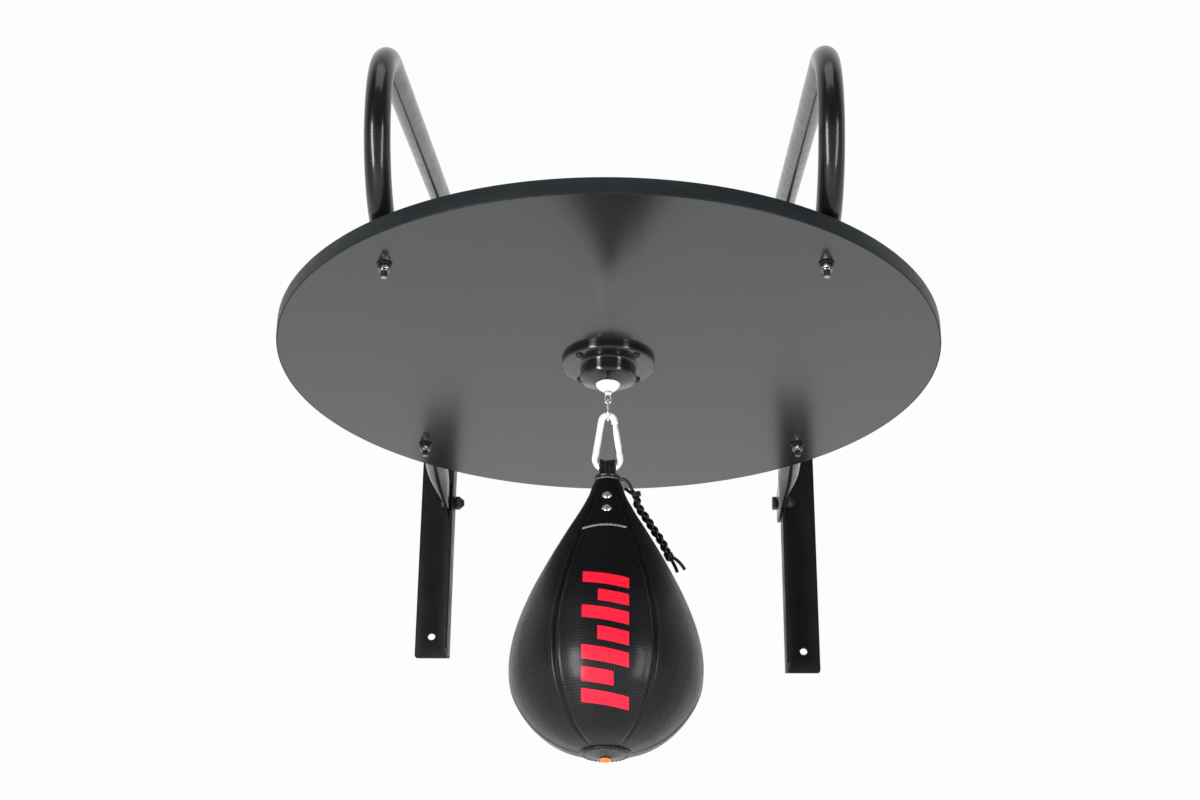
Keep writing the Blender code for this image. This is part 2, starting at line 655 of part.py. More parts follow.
def snap_hook():
    """The bent-wire hook body, its gate, pin and spring."""
    lean, top, bottom = hook_tangent()
    step = (bottom - top).normalized()
    turn = math.degrees(lean)
    high, low = -HOOK_TOP - HOOK_TOP_RADIUS, -HOOK_UP
    upper_end = top + step * (PIVOT_DOWN - 0.0045)
    lower_end = bottom - step * (NOSE_UP - 0.0008)
    line = [tuple(upper_end), *arc((0, high), HOOK_TOP_RADIUS, turn, 180 - turn, 9),
            *arc((0, low), HOOK_LOW_RADIUS, 180 - turn, 360 + turn, 14), tuple(lower_end)]
    body = wire("hook_body", [(x, CENTRE_Y, z) for x, z in line], HOOK_WIRE / 2, ZINC, sides=3)
    place = gate_place()
    half, foot = TONGUE_THICK / 2, gate_length()
    bm = bmesh.new()
    box_bm(bm, (-0.0017, -half, -0.0020), (0.0017, half, 0.0062))
    box_bm(bm, (-0.0019, -half, -foot - 0.0030), (0.0019, half, -foot + 0.0034))
    bm.transform(place)
    tongues = add("hook_tongues", mesh_from(bm, "hook_tongues"), ZINC, CUTTERS)
    boolean(body, tongues, "UNION")
    hole = GATE_PIN / 2 + 0.0002
    drill = rods("hook_pin_hole", [(hole, (0, -0.01, 0), (0, 0.01, 0))], segments=12)
    drill.data.transform(place)
    boolean(body, drill)
    body = take_into("hook_body", body, ZINC)
    origin_to(body, (0, CENTRE_Y, -LINK_DROP))

    gate = rods("hook_gate", [(GATE_DIA / 2, (0, 0, -foot), (0, 0, 0.0022))], ZINC, PARTS, 20)
    slot = GATE_SLOT / 2
    bm = bmesh.new()
    box_bm(bm, (-0.01, -slot, -0.0042), (0.01, slot, 0.01))
    box_bm(bm, (-0.01, -slot, -foot - 0.01), (0.01, slot, -foot + 0.0048))
    slots = add("gate_slots", mesh_from(bm, "gate_slots"), None, CUTTERS)
    boolean(gate, slots)
    boolean(gate, rods("gate_pin_hole", [(hole, (0, -0.01, 0), (0, 0.01, 0))], segments=12))
    boolean(gate, rods("gate_bore", [(0.0016, (0, 0, -BORE_DEPTH), (0, 0, 0.0))], segments=12))
    gate = take_into("hook_gate", gate, ZINC)
    gate.matrix_world = place
    half_pin = GATE_DIA / 2 - 0.0002
    pin = rods("hook_gate_pin", [(GATE_PIN / 2, (0, -half_pin, 0), (0, half_pin, 0))], ZINC, PARTS, 12)
    pin.matrix_world = place
    turns, per_turn = 5, 7
    bottom_z, top_z = -BORE_DEPTH + 0.0009, -0.0052
    coil = []
    for k in range(turns * per_turn + 1):
        share = k / (turns * per_turn)
        around = 2 * math.pi * k / per_turn
        coil.append((0.0010 * math.cos(around), 0.0010 * math.sin(around),
                     bottom_z + (top_z - bottom_z) * share))
    spring = wire("hook_gate_spring", coil, 0.00025, NICKEL, sides=1)
    spring.matrix_world = place


# ---------------------------------------------------------------- bag

# Stations down the bag: share of its length, share of its widest radius.
BAG_SHAPE = [(0.020, 0.163), (0.060, 0.205), (0.120, 0.300), (0.200, 0.440), (0.310, 0.620),
             (0.450, 0.822), (0.585, 0.960), (0.700, 1.000), (0.800, 0.945), (0.900, 0.740),
             (0.968, 0.445), (1.000, 0.053)]


def bag_line():
    """(radius, z) points down the outside of the bag."""
    spots = [(NECK_RADIUS, -BAG_DROP)]
    spots += [(share_r * BAG_DIA / 2, -BAG_DROP - share_z * BAG_LENGTH)
              for share_z, share_r in BAG_SHAPE]
    return [tuple(p) for p in smooth([(r, z, 0) for r, z in spots], 1)]


def bag_radius(z, inset=0.0):
    """Radius of the bag at a height, less an inset measured square to its surface."""
    line = bag_line()
    for (r1, z1, _), (r2, z2, _) in zip(line, line[1:]):
        if z2 <= z <= z1:
            share = (z - z1) / (z2 - z1)
            slope = math.hypot(1.0, (r2 - r1) / (z2 - z1))
            return r1 + (r2 - r1) * share - inset * slope
    return line[-1][0]


def inset_line(line, inset):
    """A profile moved square to itself, towards the axis."""
    spots = [Vector(p[:2]) for p in line]
    moved = []
    for k, spot in enumerate(spots):
        before, after = spots[max(k - 1, 0)], spots[min(k + 1, len(spots) - 1)]
        along = (after - before).normalized()
        moved.append((spot.x + along.y * inset, spot.y - along.x * inset))
    return moved


def bag_shell():
    """The leather shell, open at its neck and at its valve hole."""
    outer = [p[:2] for p in bag_line()]
    inner = inset_line(bag_line(), BAG_WALL)
    inner[0] = (inner[0][0], outer[0][1])
    inner[-1] = (outer[-1][0], outer[-1][1] + BAG_WALL)
    shell = turned("bag_shell", outer + inner[::-1], BLACK_LEATHER, BAG_SIDES, at=(0, CENTRE_Y, 0))
    origin_to(shell, (0, CENTRE_Y, -HOOK_DROP))
    drills = [rivet_axis(side, z, 0.012, 0.010) for side in (-1, 1) for z in rivet_heights()]
    holes = rods("shell_drills", [(0.0019, low, high) for low, high in drills], segments=10)
    boolean(shell, holes)
    return shell


def rivet_heights():
    return -BAG_DROP - 0.0205, -BAG_DROP - 0.0365


def rivet_axis(side, z, outward, inward):
    """Two points on a rivet's axis, square to the neck's surface at the front or the back."""
    step = 0.002
    slope = (bag_radius(z - step) - bag_radius(z + step)) / (2 * step)
    normal = Vector((0, side, slope)).normalized()
    spot = Vector((0, CENTRE_Y + side * bag_radius(z), z))
    return spot - normal * inward, spot + normal * outward


def rivets():
    """Two dome-headed rivets on each side of the neck, through the shell and the strap."""
    dome = RIVET_DIA / 2
    reach = BAG_WALL + STRAP_THICK + 0.0034
    profile = [(0, 0.0024), (dome * 0.55, 0.0021), (dome * 0.88, 0.0013), (dome, 0.0),
               (0.0015, 0.0), (0.0015, -reach), (0, -reach)]
    mesh = take_mesh(turned("rivet", profile, NICKEL, 12, closed=False))
    for label, side in (("front", -1), ("rear", 1)):
        for level, z in zip(("upper", "lower"), rivet_heights()):
            low, high = rivet_axis(side, z, 0.0005, 0.0)
            normal = (high - low).normalized()
            piece = add(f"rivet_{label}_{level}", mesh, NICKEL)
            turn = normal.to_track_quat("Z", "Y").to_matrix().to_4x4()
            piece.matrix_world = Matrix.Translation(high) @ turn


def hanger_strap():
    """The leather strap: over the snap hook's lowest wire and down inside the neck both sides."""
    half_gap = HOOK_WIRE / 2 + 0.0013
    middle = half_gap + STRAP_THICK / 2
    crown_z = -HOOK_DROP + 0.0023
    crown = arc((0, crown_z), middle, 0, 180, 12)
    rim = -BAG_DROP + 0.0005
    down = [(middle, -HOOK_DROP - 0.004)]
    for drop in (0.0, 0.004, 0.008, 0.012, 0.016, 0.020, 0.024, 0.028, 0.033, 0.038,
                 0.042):
        z = rim - drop
        inner = bag_radius(min(z, -BAG_DROP - 0.0005), BAG_WALL)
        chord = math.sqrt(max(inner ** 2 - (STRAP_WIDTH / 2 + 0.0002) ** 2, 0.0))
        lean = math.hypot(1.0, 0.55 if drop > 0.006 else 0.3)
        down.append((max(middle, chord - (STRAP_THICK / 2 + 0.0006) * lean), z))
    left = [(-y, z) for y, z in down]
    line = down[::-1] + crown[1:-1] + left
    bm = bmesh.new()
    rows = []
    spots = [Vector(p) for p in line]
    for k, spot in enumerate(spots):
        before, after = spots[max(k - 1, 0)], spots[min(k + 1, len(spots) - 1)]
        along = (after - before).normalized()
        out = Vector((along.y, -along.x))
        row = []
        for side, depth in ((-1, 1), (1, 1), (1, -1), (-1, -1)):
            y, z = spot + out * depth * STRAP_THICK / 2
            row.append(bm.verts.new((side * STRAP_WIDTH / 2, CENTRE_Y + y, z)))
        rows.append(row)
    for one, two in zip(rows, rows[1:]):
        for k in range(4):
            bm.faces.new((one[k], one[(k + 1) % 4], two[(k + 1) % 4], two[k]))
    bm.faces.new(rows[0])
    bm.faces.new(rows[-1][::-1])
    strap = add("hanger_strap", mesh_from(bm, "hanger_strap"), BLACK_LEATHER)
    drills = [rivet_axis(side, z, 0.002, 0.014) for side in (-1, 1) for z in rivet_heights()]
    boolean(strap, rods("strap_drills", [(0.0019, low, high) for low, high in drills],
                        segments=10))
    return strap


def collar_and_cap():
    """The rolled collar on the neck, the patch under the bag and the valve in it."""
    rim = -BAG_DROP + GAP
    inner = NECK_RADIUS - BAG_WALL + 0.0001
    outer = NECK_RADIUS + 0.0002
    ease = 0.0012
    profile = [(outer - ease, rim + COLLAR_HEIGHT), (outer, rim + COLLAR_HEIGHT - ease),
               (outer, rim + ease), (outer - ease, rim), (inner, rim), (inner, rim + COLLAR_HEIGHT)]
    turned("neck_collar", profile, BLACK_LEATHER, BAG_SIDES, at=(0, CENTRE_Y, 0))
    line = [p[:2] for p in bag_line()]
    hole = VALVE_RADIUS - 0.0012
    radii = [CAP_RADIUS - (CAP_RADIUS - hole) * k / 3 for k in range(4)]
    above = [(r, bag_floor(line, r) - GAP) for r in radii]
    below = [(r, z - CAP_THICK) for r, z in above]
    turned("bottom_patch", below + above[::-1], BLACK_LEATHER, BAG_SIDES, at=(0, CENTRE_Y, 0))
    low = below[-1][1]
    floor = line[-1][1]
    stem = hole - GAP
    profile = [(0, floor + 0.012), (0.0012, floor + 0.012), (0.0012, floor + 0.0026),
               (stem, floor + 0.0018), (stem, low - GAP), (VALVE_RADIUS, low - GAP),
               (VALVE_RADIUS, low - GAP - 0.0010), (VALVE_RADIUS - 0.0010, low - GAP - 0.0018),
               (0, low - GAP - 0.0022)]
    turned("valve", profile, ORANGE, 12, closed=False, at=(0, CENTRE_Y, 0))


def bag_floor(line, radius):
    """Height of the bag's underside at a radius."""
    for (r1, z1), (r2, z2) in zip(line[::-1], line[::-1][1:]):
        if r1 <= radius <= r2:
            return z1 + (z2 - z1) * (radius - r1) / (r2 - r1)
    return line[-1][1]


def bladder():
    """The thin rubber bladder inside the shell, open round the valve's stem."""
    start = -BAG_DROP - 0.056
    line = [p for p in bag_line() if p[1] < start]
    skin = inset_line(line, BAG_WALL + 0.0006)
    lining = inset_line(line, BAG_WALL + 0.0006 + BLADDER_WALL)
    crown = skin[0][0]
    top = skin[0][1] + crown * 0.30
    over = [(0, top), (crown * 0.45, top - 0.0008), (crown * 0.82, top - 0.0042)]
    under = [(r, z - BLADDER_WALL) for r, z in over]
    bore = 0.0022
    floor = skin[-1][1]
    skin = [p for p in skin if p[0] > 0.006] + [(bore, floor)]
    lining = [p for p in lining if p[0] > 0.006] + [(bore, floor + BLADDER_WALL)]
    profile = over + skin + lining[::-1] + under[::-1]
    turned("bladder", profile, RUBBER, BAG_SIDES, closed=False, at=(0, CENTRE_Y, 0))


# ---------------------------------------------------------------- lace

# The lace's route, as x, y and z from the point of the bag's axis at the board's underside.
LACE_LEAD = [(0.0125, -0.0010, -0.1184), (0.0148, -0.0014, -0.1190), (0.0172, -0.0014, -0.1204),
             (0.0192, -0.0012, -0.1226), (0.0208, -0.0008, -0.1254), (0.0222, -0.0004, -0.1288)]
HEAD_KNOT = (0.0262, 0.0, -0.1329)
PLAIT_LINE = [(0.0264, 0.0, -0.1383), (0.0274, 0.0, -0.1437), (0.0310, 0.0, -0.1502),
              (0.0362, 0.0, -0.1580), (0.0422, 0.0, -0.1681), (0.0482, 0.0, -0.1777),
              (0.0526, 0.0, -0.1866)]
END_KNOT = (0.0552, 0.0, -0.1922)
LACE_TAIL_UPPER = [(0.0592, -0.0020, -0.1946), (0.0622, -0.0024, -0.1970), (0.0650, -0.0027, -0.2000),
                   (0.0672, -0.0028, -0.2030), (0.0690, -0.0028, -0.2058)]
LACE_TAIL_LOWER = [(0.0580, 0.0021, -0.1962), (0.0596, 0.0027, -0.1992), (0.0612, 0.0030, -0.2026),
                   (0.0624, 0.0032, -0.2062)]


def placed(route):
    return [(x, CENTRE_Y + y, z) for x, y, z in route]


def lace():
    """The lace: a lead from the collar, a knot, the plaited stretch, a knot and two tails."""
    for name, route in (("lace_lead", LACE_LEAD), ("lace_tail_upper", LACE_TAIL_UPPER),
                        ("lace_tail_lower", LACE_TAIL_LOWER)):
        wire(name, smooth(placed(route), 2), LACE_DIA / 2, BLACK_LEATHER, sides=2)
    wire("lace_plait", placed(PLAIT_LINE), LACE_DIA * 1.35, BLACK_LEATHER, sides=2)
    for name, spot in (("lace_head_knot", HEAD_KNOT), ("lace_end_knot", END_KNOT)):
        bm = bmesh.new()
        bmesh.ops.create_uvsphere(bm, u_segments=12, v_segments=7, radius=LACE_DIA * 1.5,
                                  matrix=Matrix.Translation(placed([spot])[0]))
        add(name, mesh_from(bm, name), BLACK_LEATHER)


for label, side in (("left", -1), ("right", 1)):
    bracket(f"wall_bracket_{label}", side)
    arm(f"arm_tube_{label}", side)
board()
board_fasteners()
bracket_fasteners()
swivel()
ball_and_eye()
link_ring()
snap_hook()
bag_shell()
bladder()
hanger_strap()
rivets()
collar_and_cap()
lace()
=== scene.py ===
"""Looks of a speed bag platform: a round board on bent arms, its swivel, hook, bag and lace."""

import math
from collections import namedtuple

import bmesh
import bpy
from bpy.props import FloatProperty, FloatVectorProperty, PointerProperty
from mathutils import Matrix, Vector


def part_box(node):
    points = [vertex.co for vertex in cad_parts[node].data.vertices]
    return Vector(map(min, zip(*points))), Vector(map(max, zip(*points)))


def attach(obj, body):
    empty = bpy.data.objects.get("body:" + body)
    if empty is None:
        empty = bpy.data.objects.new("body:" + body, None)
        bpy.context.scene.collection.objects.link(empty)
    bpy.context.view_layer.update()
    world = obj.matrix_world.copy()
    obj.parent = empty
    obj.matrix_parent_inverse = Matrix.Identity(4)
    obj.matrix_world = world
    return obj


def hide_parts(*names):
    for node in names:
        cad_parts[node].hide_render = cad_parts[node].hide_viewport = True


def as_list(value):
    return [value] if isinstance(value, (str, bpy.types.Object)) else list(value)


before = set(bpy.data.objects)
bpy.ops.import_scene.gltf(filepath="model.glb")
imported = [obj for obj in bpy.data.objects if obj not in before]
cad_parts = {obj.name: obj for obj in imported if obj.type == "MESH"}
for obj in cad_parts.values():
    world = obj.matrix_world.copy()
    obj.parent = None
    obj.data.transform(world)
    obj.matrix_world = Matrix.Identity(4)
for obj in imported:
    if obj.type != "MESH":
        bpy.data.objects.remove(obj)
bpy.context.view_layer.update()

bl_info = {
    "name": "Speed bag platform",
    "version": (1, 0, 0),
    "blender": (4, 5, 0),
    "location": "3D View > Sidebar > Speed bag",
    "description": "Builds a wall-mounted speed bag platform piece by piece",
    "category": "Object",
}

GAP = 0.0003                 # play between two fitted pieces
DRILL = 0.01                 # how far a cutter reaches past what it cuts
LEVELS = ("lower", "upper")


def middle(node):
    """The middle of a node's box."""
    return Vector([(a + b) / 2 for a, b in zip(*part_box(node))])


def span(node):
    """The low and the high corner of a node's box."""
    return [Vector(corner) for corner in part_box(node)]


BOARD_LOW, BOARD_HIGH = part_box("board_edge_band")
BOARD_RADIUS = (BOARD_HIGH[0] - BOARD_LOW[0]) / 2
BOARD_THICK = BOARD_HIGH[2] - BOARD_LOW[2]
CY = middle("board_edge_band")[1]
AXIS = Matrix.Translation((0, CY, 0))


# ---------------------------------------------------------------- settings

def size(name, description, default):
    return FloatProperty(name=name, description=description, default=default, unit="LENGTH")


def ink(name, description, default):
    return FloatVectorProperty(name=name, description=description, default=default, size=3,
                               subtype="COLOR")


class SpeedBagSettings(bpy.types.PropertyGroup):
    """Sizes and colours that a user would change."""

    tube_dia: size("Tube diameter", "Outside diameter of the arms' tube", 0.022)
    bag_dia: size("Bag diameter", "The bag's widest diameter", 0.170)
    grid_pitch: size("Grain pitch", "Spacing of the leather's embossed grid", 0.0027)
    lace_dia: size("Lace diameter", "Diameter of one strand of the lace", 0.0030)
    coat_colour: ink("Coat", "Powder coat on arms and brackets", (0.010, 0.010, 0.011))
    board_colour: ink("Board", "Laminate on the board's faces", (0.0100, 0.0104, 0.0112))
    band_colour: ink("Edge band", "Band round the board", (0.008, 0.0105, 0.0115))
    leather_colour: ink("Leather", "The bag's leather", (0.0030, 0.0030, 0.0036))
    print_colour: ink("Print", "Printed bars on the front panel", (1.0, 0.010, 0.035))
    valve_colour: ink("Valve", "The bladder's valve", (0.85, 0.22, 0.03))


def settings():
    return bpy.context.scene.speed_bag


# ---------------------------------------------------------------- materials

class Value:
    """A node socket that takes part in sums: each operation adds a Math node."""

    def __init__(self, finish, socket):
        self.finish = finish
        self.socket = socket

    def math(self, operation, *others):
        return self.finish.node("Math", {"operation": operation}, dict(enumerate((self, *others))))

    def __add__(self, other):
        return self.math("ADD", other)

    def __sub__(self, other):
        return self.math("SUBTRACT", other)

    def __rsub__(self, other):
        return self.finish.node("Math", {"operation": "SUBTRACT"}, {0: other, 1: self})

    def __mul__(self, other):
        return self.math("MULTIPLY", other)

    def __truediv__(self, other):
        return self.math("DIVIDE", other)

    def above(self, limit):
        return self.math("GREATER_THAN", limit)

    def below(self, limit):
        return self.math("LESS_THAN", limit)

    def step(self, low, high):
        """0 below low, 1 above high and smooth between them."""
        return self.finish.node("MapRange", {"interpolation_type": "SMOOTHSTEP"},
                                {"Value": self, "From Min": low, "From Max": high})


class Finish:
    """A procedural material under construction."""

    def __init__(self, name, colour, roughness, sockets=None):
        self.material = bpy.data.materials.new(name)
        self.material.use_nodes = True
        self.tree = self.material.node_tree
        self.shader = self.tree.nodes["Principled BSDF"]
        self.set("Base Color", colour)
        self.set("Roughness", roughness)
        for socket, value in (sockets or {}).items():
            self.set(socket, value)

    def put(self, socket, value):
        """Gives a socket a link, a colour or a number."""
        if isinstance(value, Value):
            self.tree.links.new(value.socket, socket)
        elif hasattr(value, "__len__") and len(socket.default_value) == 4 and len(value) == 3:
            socket.default_value = (*value, 1.0)
        else:
            socket.default_value = value

    def set(self, socket, value):
        self.put(self.shader.inputs[socket], value)

    def node(self, kind, options=None, values=None, out=0):
        """Adds a node: its options are set first, then its sockets' values or links."""
        made = self.tree.nodes.new("ShaderNode" + kind)
        for option, value in (options or {}).items():
            setattr(made, option, value)
        for socket, value in (values or {}).items():
            self.put(made.inputs[socket], value)
        return Value(self, made.outputs[out])

    def split(self, vector):
        """The three coordinates of a vector."""
        parts = self.tree.nodes.new("ShaderNodeSeparateXYZ")
        self.put(parts.inputs[0], vector)
        return [Value(self, out) for out in parts.outputs]

    def place(self, scale=(1, 1, 1)):
        """Object coordinates, stretched by a scale."""
        spot = self.node("TexCoord", out=3)
        return self.node("Mapping", values={"Vector": spot, "Scale": scale})

    def noise(self, scale, detail=3.0, stretch=(1, 1, 1), rough=0.5):
        return self.node("TexNoise", values={"Vector": self.place(stretch), "Scale": scale,
                                             "Detail": detail, "Roughness": rough})

    def vary(self, factor, low, high):
        """A number that runs from low to high as the factor runs from 0.3 to 0.7."""
        return self.node("MapRange", None, {"Value": factor, "From Min": 0.3, "From Max": 0.7,
                                            "To Min": low, "To Max": high})

    def mix(self, factor, one, two):
        """A colour between two."""
        return self.node("Mix", {"data_type": "RGBA"}, {0: factor, 6: one, 7: two}, out=2)

    def bump(self, height, distance, strength=1.0, under=None):
        values = {"Height": height, "Distance": distance, "Strength": strength}
        if under is not None:
            values["Normal"] = under
        made = self.node("Bump", None, values)
        self.set("Normal", made)
        return made


FINISHES = {}


def finish(name):
    """The material of that name, made the first time it is asked for."""
    if name not in FINISHES:
        made = surface(*SURFACES[name]) if name in SURFACES else MAKERS[name]()
        FINISHES[name] = made.material
    return FINISHES[name]


def shades(setting, *factors):
    """A colour from the settings, once for each factor that lightens or darkens it."""
    colour = getattr(settings(), setting)
    return [tuple(part * factor for part in colour) for factor in factors]


def surface(name, tones, rough, grain=None, sockets=None):
    """A finish. Its tones are one colour or two, or two shades of a colour in the settings, and
    rough is one number or two: two are followed by the noise that runs between them. Grain is
    a noise and the height of its bumps."""
    if isinstance(tones[0], str):
        tones = (*shades(*tones[:3]), tones[3])
    made = Finish(name, tones[0], rough[0], sockets)
    if len(tones) > 1:
        made.set("Base Color", made.mix(made.noise(*tones[2]), *tones[:2]))
    if len(rough) > 1:
        made.set("Roughness", made.vary(made.noise(*rough[2]), *rough[:2]))
    if grain:
        made.bump(made.noise(*grain[0]), grain[1])
    return made


def leather(name, roughness, grain=0.00012):
    """Plain black leather with a fine grain and soft creases."""
    made = surface(name, ("leather_colour", 0.8, 1.7, (40,)),
                   (roughness - 0.06, roughness + 0.1, (90, 4)), None,
                   {"Coat Weight": 0.15, "Coat Roughness": 0.2, "Specular IOR Level": 0.3})
    under = made.bump(made.noise(130, 5, (1, 1, 2.2), 0.6), 0.0006, 0.5)
    made.bump(made.noise(1500, 3), grain, 0.6, under)
    return made


PANEL_SHIFT = 400            # grid pitches between the panels' places in the UV map
SMOOTH_ABOVE = 0.0610        # down the bag from its rim, where the neck's plain facing ends
PRINT_TOP, PRINT_LEFT, PRINT_RIGHT = 0.126, -0.0195, 0.0205
PRINT_LEAN = 0.19            # drop of a bar for each metre across
BAR_COUNT, BAR_PITCH, BAR_SHARE = 7, 0.0184, 0.66
SHORT_LEFT, SHORT_RIGHT = -0.0060, 0.0075   # where a short bar starts, or ends lower down
LOWER_BARS = 4               # bars from this one on are short on their right


def bag_leather():
    """Leather embossed with a fine grid, plain on the neck, with slanted bars printed in front."""
    pitch = settings().grid_pitch
    made = Finish("bag leather", *shades("leather_colour", 1.0), 0.36,
                  {"Coat Weight": 0.16, "Coat Roughness": 0.2, "Specular IOR Level": 0.17})
    across, down, _ = made.split(made.node("UVMap", {"uv_map": "panels"}))
    grid = down.step(SMOOTH_ABOVE - 0.0006, SMOOTH_ABOVE + 0.0006)
    for way in (across, down):
        grid = grid * (way / pitch).math("PINGPONG", 0.5).step(0.02, 0.30)
    grid = grid * (1 - made.node("Attribute", {"attribute_name": "seam"}, out=2))

    bars = (down - PRINT_TOP - across * PRINT_LEAN) / BAR_PITCH
    row = bars.math("FLOOR").math("MODULO", 2).math("ABSOLUTE")
    mark = across.above(PRINT_LEFT) * across.below(PRINT_RIGHT)
    mark = mark * bars.above(0) * bars.below(BAR_COUNT) * bars.math("FRACT").below(BAR_SHARE)
    mark = mark * (1 - row * across.below(SHORT_LEFT) * bars.below(LOWER_BARS))
    mark = mark * (1 - row * across.above(SHORT_RIGHT) * bars.above(LOWER_BARS))

    tone = made.mix(made.noise(40), *shades("leather_colour", 0.8, 1.6))
    made.set("Base Color", made.mix(mark, tone, *shades("print_colour", 1.0)))
    made.set("Roughness", made.vary(made.noise(60, 4), 0.27, 0.40) + mark * 0.12)
    under = made.bump(made.noise(90, 4, (1, 1, 1.6), 0.6), 0.0005, 0.16)
    made.bump(grid + mark * 0.3, 0.00035, 0.75, under)
    return made


GLOW_FROM, GLOW_TO = -0.4, 0.8   # Y over which the floor's painted glow brightens, away from the camera


def floor_with_painted_glow():
    """Pale floor with a painted glow: the camera sees it evenly bright, and to all other rays the
    glow is darker towards the camera.
    """
    made = surface("pale floor", ((0.85,) * 3, (0.87,) * 3, (2,)), (0.7,), None,
                   {"Emission Strength": 1.0})
    # Painted glow: emission that all rays but the camera's see dimming towards the camera.
    glow = made.split(made.place())[1].step(GLOW_FROM, GLOW_TO)
    glow = glow.math("MAXIMUM", made.node("LightPath"))
    made.set("Emission Color", made.mix(glow, (0.03,) * 3, (0.60,) * 3))
    return made


SURFACES = {
    "tube": ("tube coat", ("coat_colour", 0.35, 0.6, (9,)), (0.24, 0.36, (60,)),
             ((420, 2), 0.00003),
             {"Coat Weight": 0.45, "Coat Roughness": 0.16, "Specular IOR Level": 0.16}),
    "bracket": ("bracket coat", ("coat_colour", 0.4, 0.8, (14,)), (0.34, 0.5, (40,)),
                ((900, 2), 0.00006), {"Specular IOR Level": 0.13}),
    "laminate": ("laminate", ("board_colour", 0.8, 1.25, (5, 4)), (0.17, 0.21, (4, 2)),
                 ((1600, 2), 0.00001)),
    "band": ("edge band", ("band_colour", 1.0, 1.4, (30,)), (0.36, 0.5, (90, 3, (1, 1, 6))),
             ((700, 2, (1, 1, 4)), 0.00005), {"Specular IOR Level": 0.15}),
    "black steel": ("blackened steel", ((0.012, 0.012, 0.013), (0.04, 0.04, 0.042), (300,)),
                    (0.26, 0.45, (500,)), None, {"Metallic": 0.75}),
    "dark chrome": ("dark chrome", ((0.10, 0.10, 0.11), (0.34, 0.34, 0.35), (400,)),
                    (0.14, 0.34, (700,)), None, {"Metallic": 1.0}),
    "zinc": ("bright zinc", ((0.86, 0.87, 0.89), (0.95, 0.95, 0.96), (220,)),
             (0.28, 0.38, (120,)), None, {"Metallic": 0.3}),
    "nickel": ("nickel", ((0.70, 0.68, 0.64), (0.86, 0.84, 0.80), (260,)),
               (0.08, 0.2, (700,)), None, {"Metallic": 0.85}),
    "thread end": ("bare thread", ((0.34, 0.34, 0.35),), (0.18, 0.4, (800,)), None,
                   {"Metallic": 1.0}),
    "swivel": ("swivel paint", ((0.006, 0.006, 0.007),), (0.12, 0.24, (120,)),
               ((350, 2), 0.00004),
               {"Coat Weight": 0.4, "Coat Roughness": 0.05, "Specular IOR Level": 0.35}),
    "nylon": ("cream nylon", ((0.80, 0.76, 0.64), (0.90, 0.87, 0.78), (160,)),
              (0.25, 0.4, (300,)), None, {"Subsurface Weight": 0.1}),
    "rubber": ("black rubber", ((0.012,) * 3,), (0.5, 0.7, (200,))),
    "valve": ("valve rubber", ("valve_colour", 0.8, 1.0, (300,)), (0.45,), ((900,), 0.00003)),
    "stitches": ("stitching thread", ((0.02, 0.02, 0.02), (0.07, 0.07, 0.072), (900,)), (0.5,)),
    # Pale thread of the facing's stitches, also used for the painted highlight round the collar.
    "pale stitches and painted highlight": ("pale thread", ((0.16, 0.16, 0.17), (0.42, 0.42, 0.44), (900,)), (0.4,)),
}
MAKERS = {"bag": bag_leather, "floor": floor_with_painted_glow,
          "plain leather": lambda: leather("plain leather", 0.34),
          "lace": lambda: leather("lace leather", 0.38, 0.00025)}


# ---------------------------------------------------------------- mesh tools

def mesh_of(bm, name, angle=34.0):
    """Finishes a bmesh as a smooth mesh whose sharp edges are marked."""
    mesh = bpy.data.meshes.new(name)
    bm.to_mesh(mesh)
    bm.free()
    mesh.shade_smooth()
    mesh.set_sharp_from_angle(angle=math.radians(angle))
    return mesh


def link(name, data):
    """Puts an object in the scene."""
    made = bpy.data.objects.new(name, data)
    bpy.context.scene.collection.objects.link(made)
    return made


def show(name, bm, look):
    """Puts a bmesh in the scene as an object with one material."""
    made = link(name, mesh_of(bm, name))
    made.data.materials.append(finish(look))
    return made


def piece(name, bm, look, body, slot, *nodes):
    """Shows a bmesh that rides on a body, takes a look's finish and stands for its CAD nodes. The
    slot is not used.
    """
    made = show(name, bm, look)
    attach(made, body)
    if nodes:
        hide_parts(*nodes)
    return made


def lathe(profile, steps=64, closed=True, place=Matrix()):
    """A bmesh of (radius, height) points spun about Z, then placed."""
    bm = bmesh.new()
    verts = [bm.verts.new((radius, 0, height)) for radius, height in profile]
    edges = [bm.edges.new(pair) for pair in zip(verts, verts[1:])]
    if closed:
        edges.append(bm.edges.new((verts[-1], verts[0])))
    bmesh.ops.spin(bm, geom=verts + edges, cent=(0, 0, 0), axis=(0, 0, 1), angle=2 * math.pi,
                   steps=steps, use_merge=True)
    bmesh.ops.remove_doubles(bm, verts=bm.verts, dist=1e-6)
    bmesh.ops.recalc_face_normals(bm, faces=bm.faces)
    bm.transform(place)
    return bm


def bevel(bm, edges, width, segments, clamp=False):
    bmesh.ops.bevel(bm, geom=edges, offset=width, offset_type="OFFSET", segments=segments,
                    profile=0.5, affect="EDGES", material=-1, clamp_overlap=clamp)


def ease(bm, width, segments=2, limit=30.0):
    """Rounds every edge sharper than a limit."""
    sharp = [edge for edge in bm.edges if edge.is_manifold
             and edge.calc_face_angle() > math.radians(limit)]
    bevel(bm, sharp, width, segments, True)
    return bm


def block(low, high, rounding=0.0):
    """A box between two corners."""
    bm = bmesh.new()
    low, high = Vector(low), Vector(high)
    place = Matrix.Translation((low + high) / 2) @ Matrix.Diagonal((*(high - low), 1))
    bmesh.ops.create_cube(bm, size=1.0, matrix=place)
    return ease(bm, rounding, 3) if rounding else bm


def prism(sides, radius, low, high, place=Matrix()):
    """A prism or a cylinder along Z."""
    bm = bmesh.new()
    spot = Matrix.Translation((0, 0, (low + high) / 2))
    bmesh.ops.create_cone(bm, cap_ends=True, segments=sides, radius1=radius, radius2=radius,
                          depth=high - low, matrix=place @ spot)
    return bm


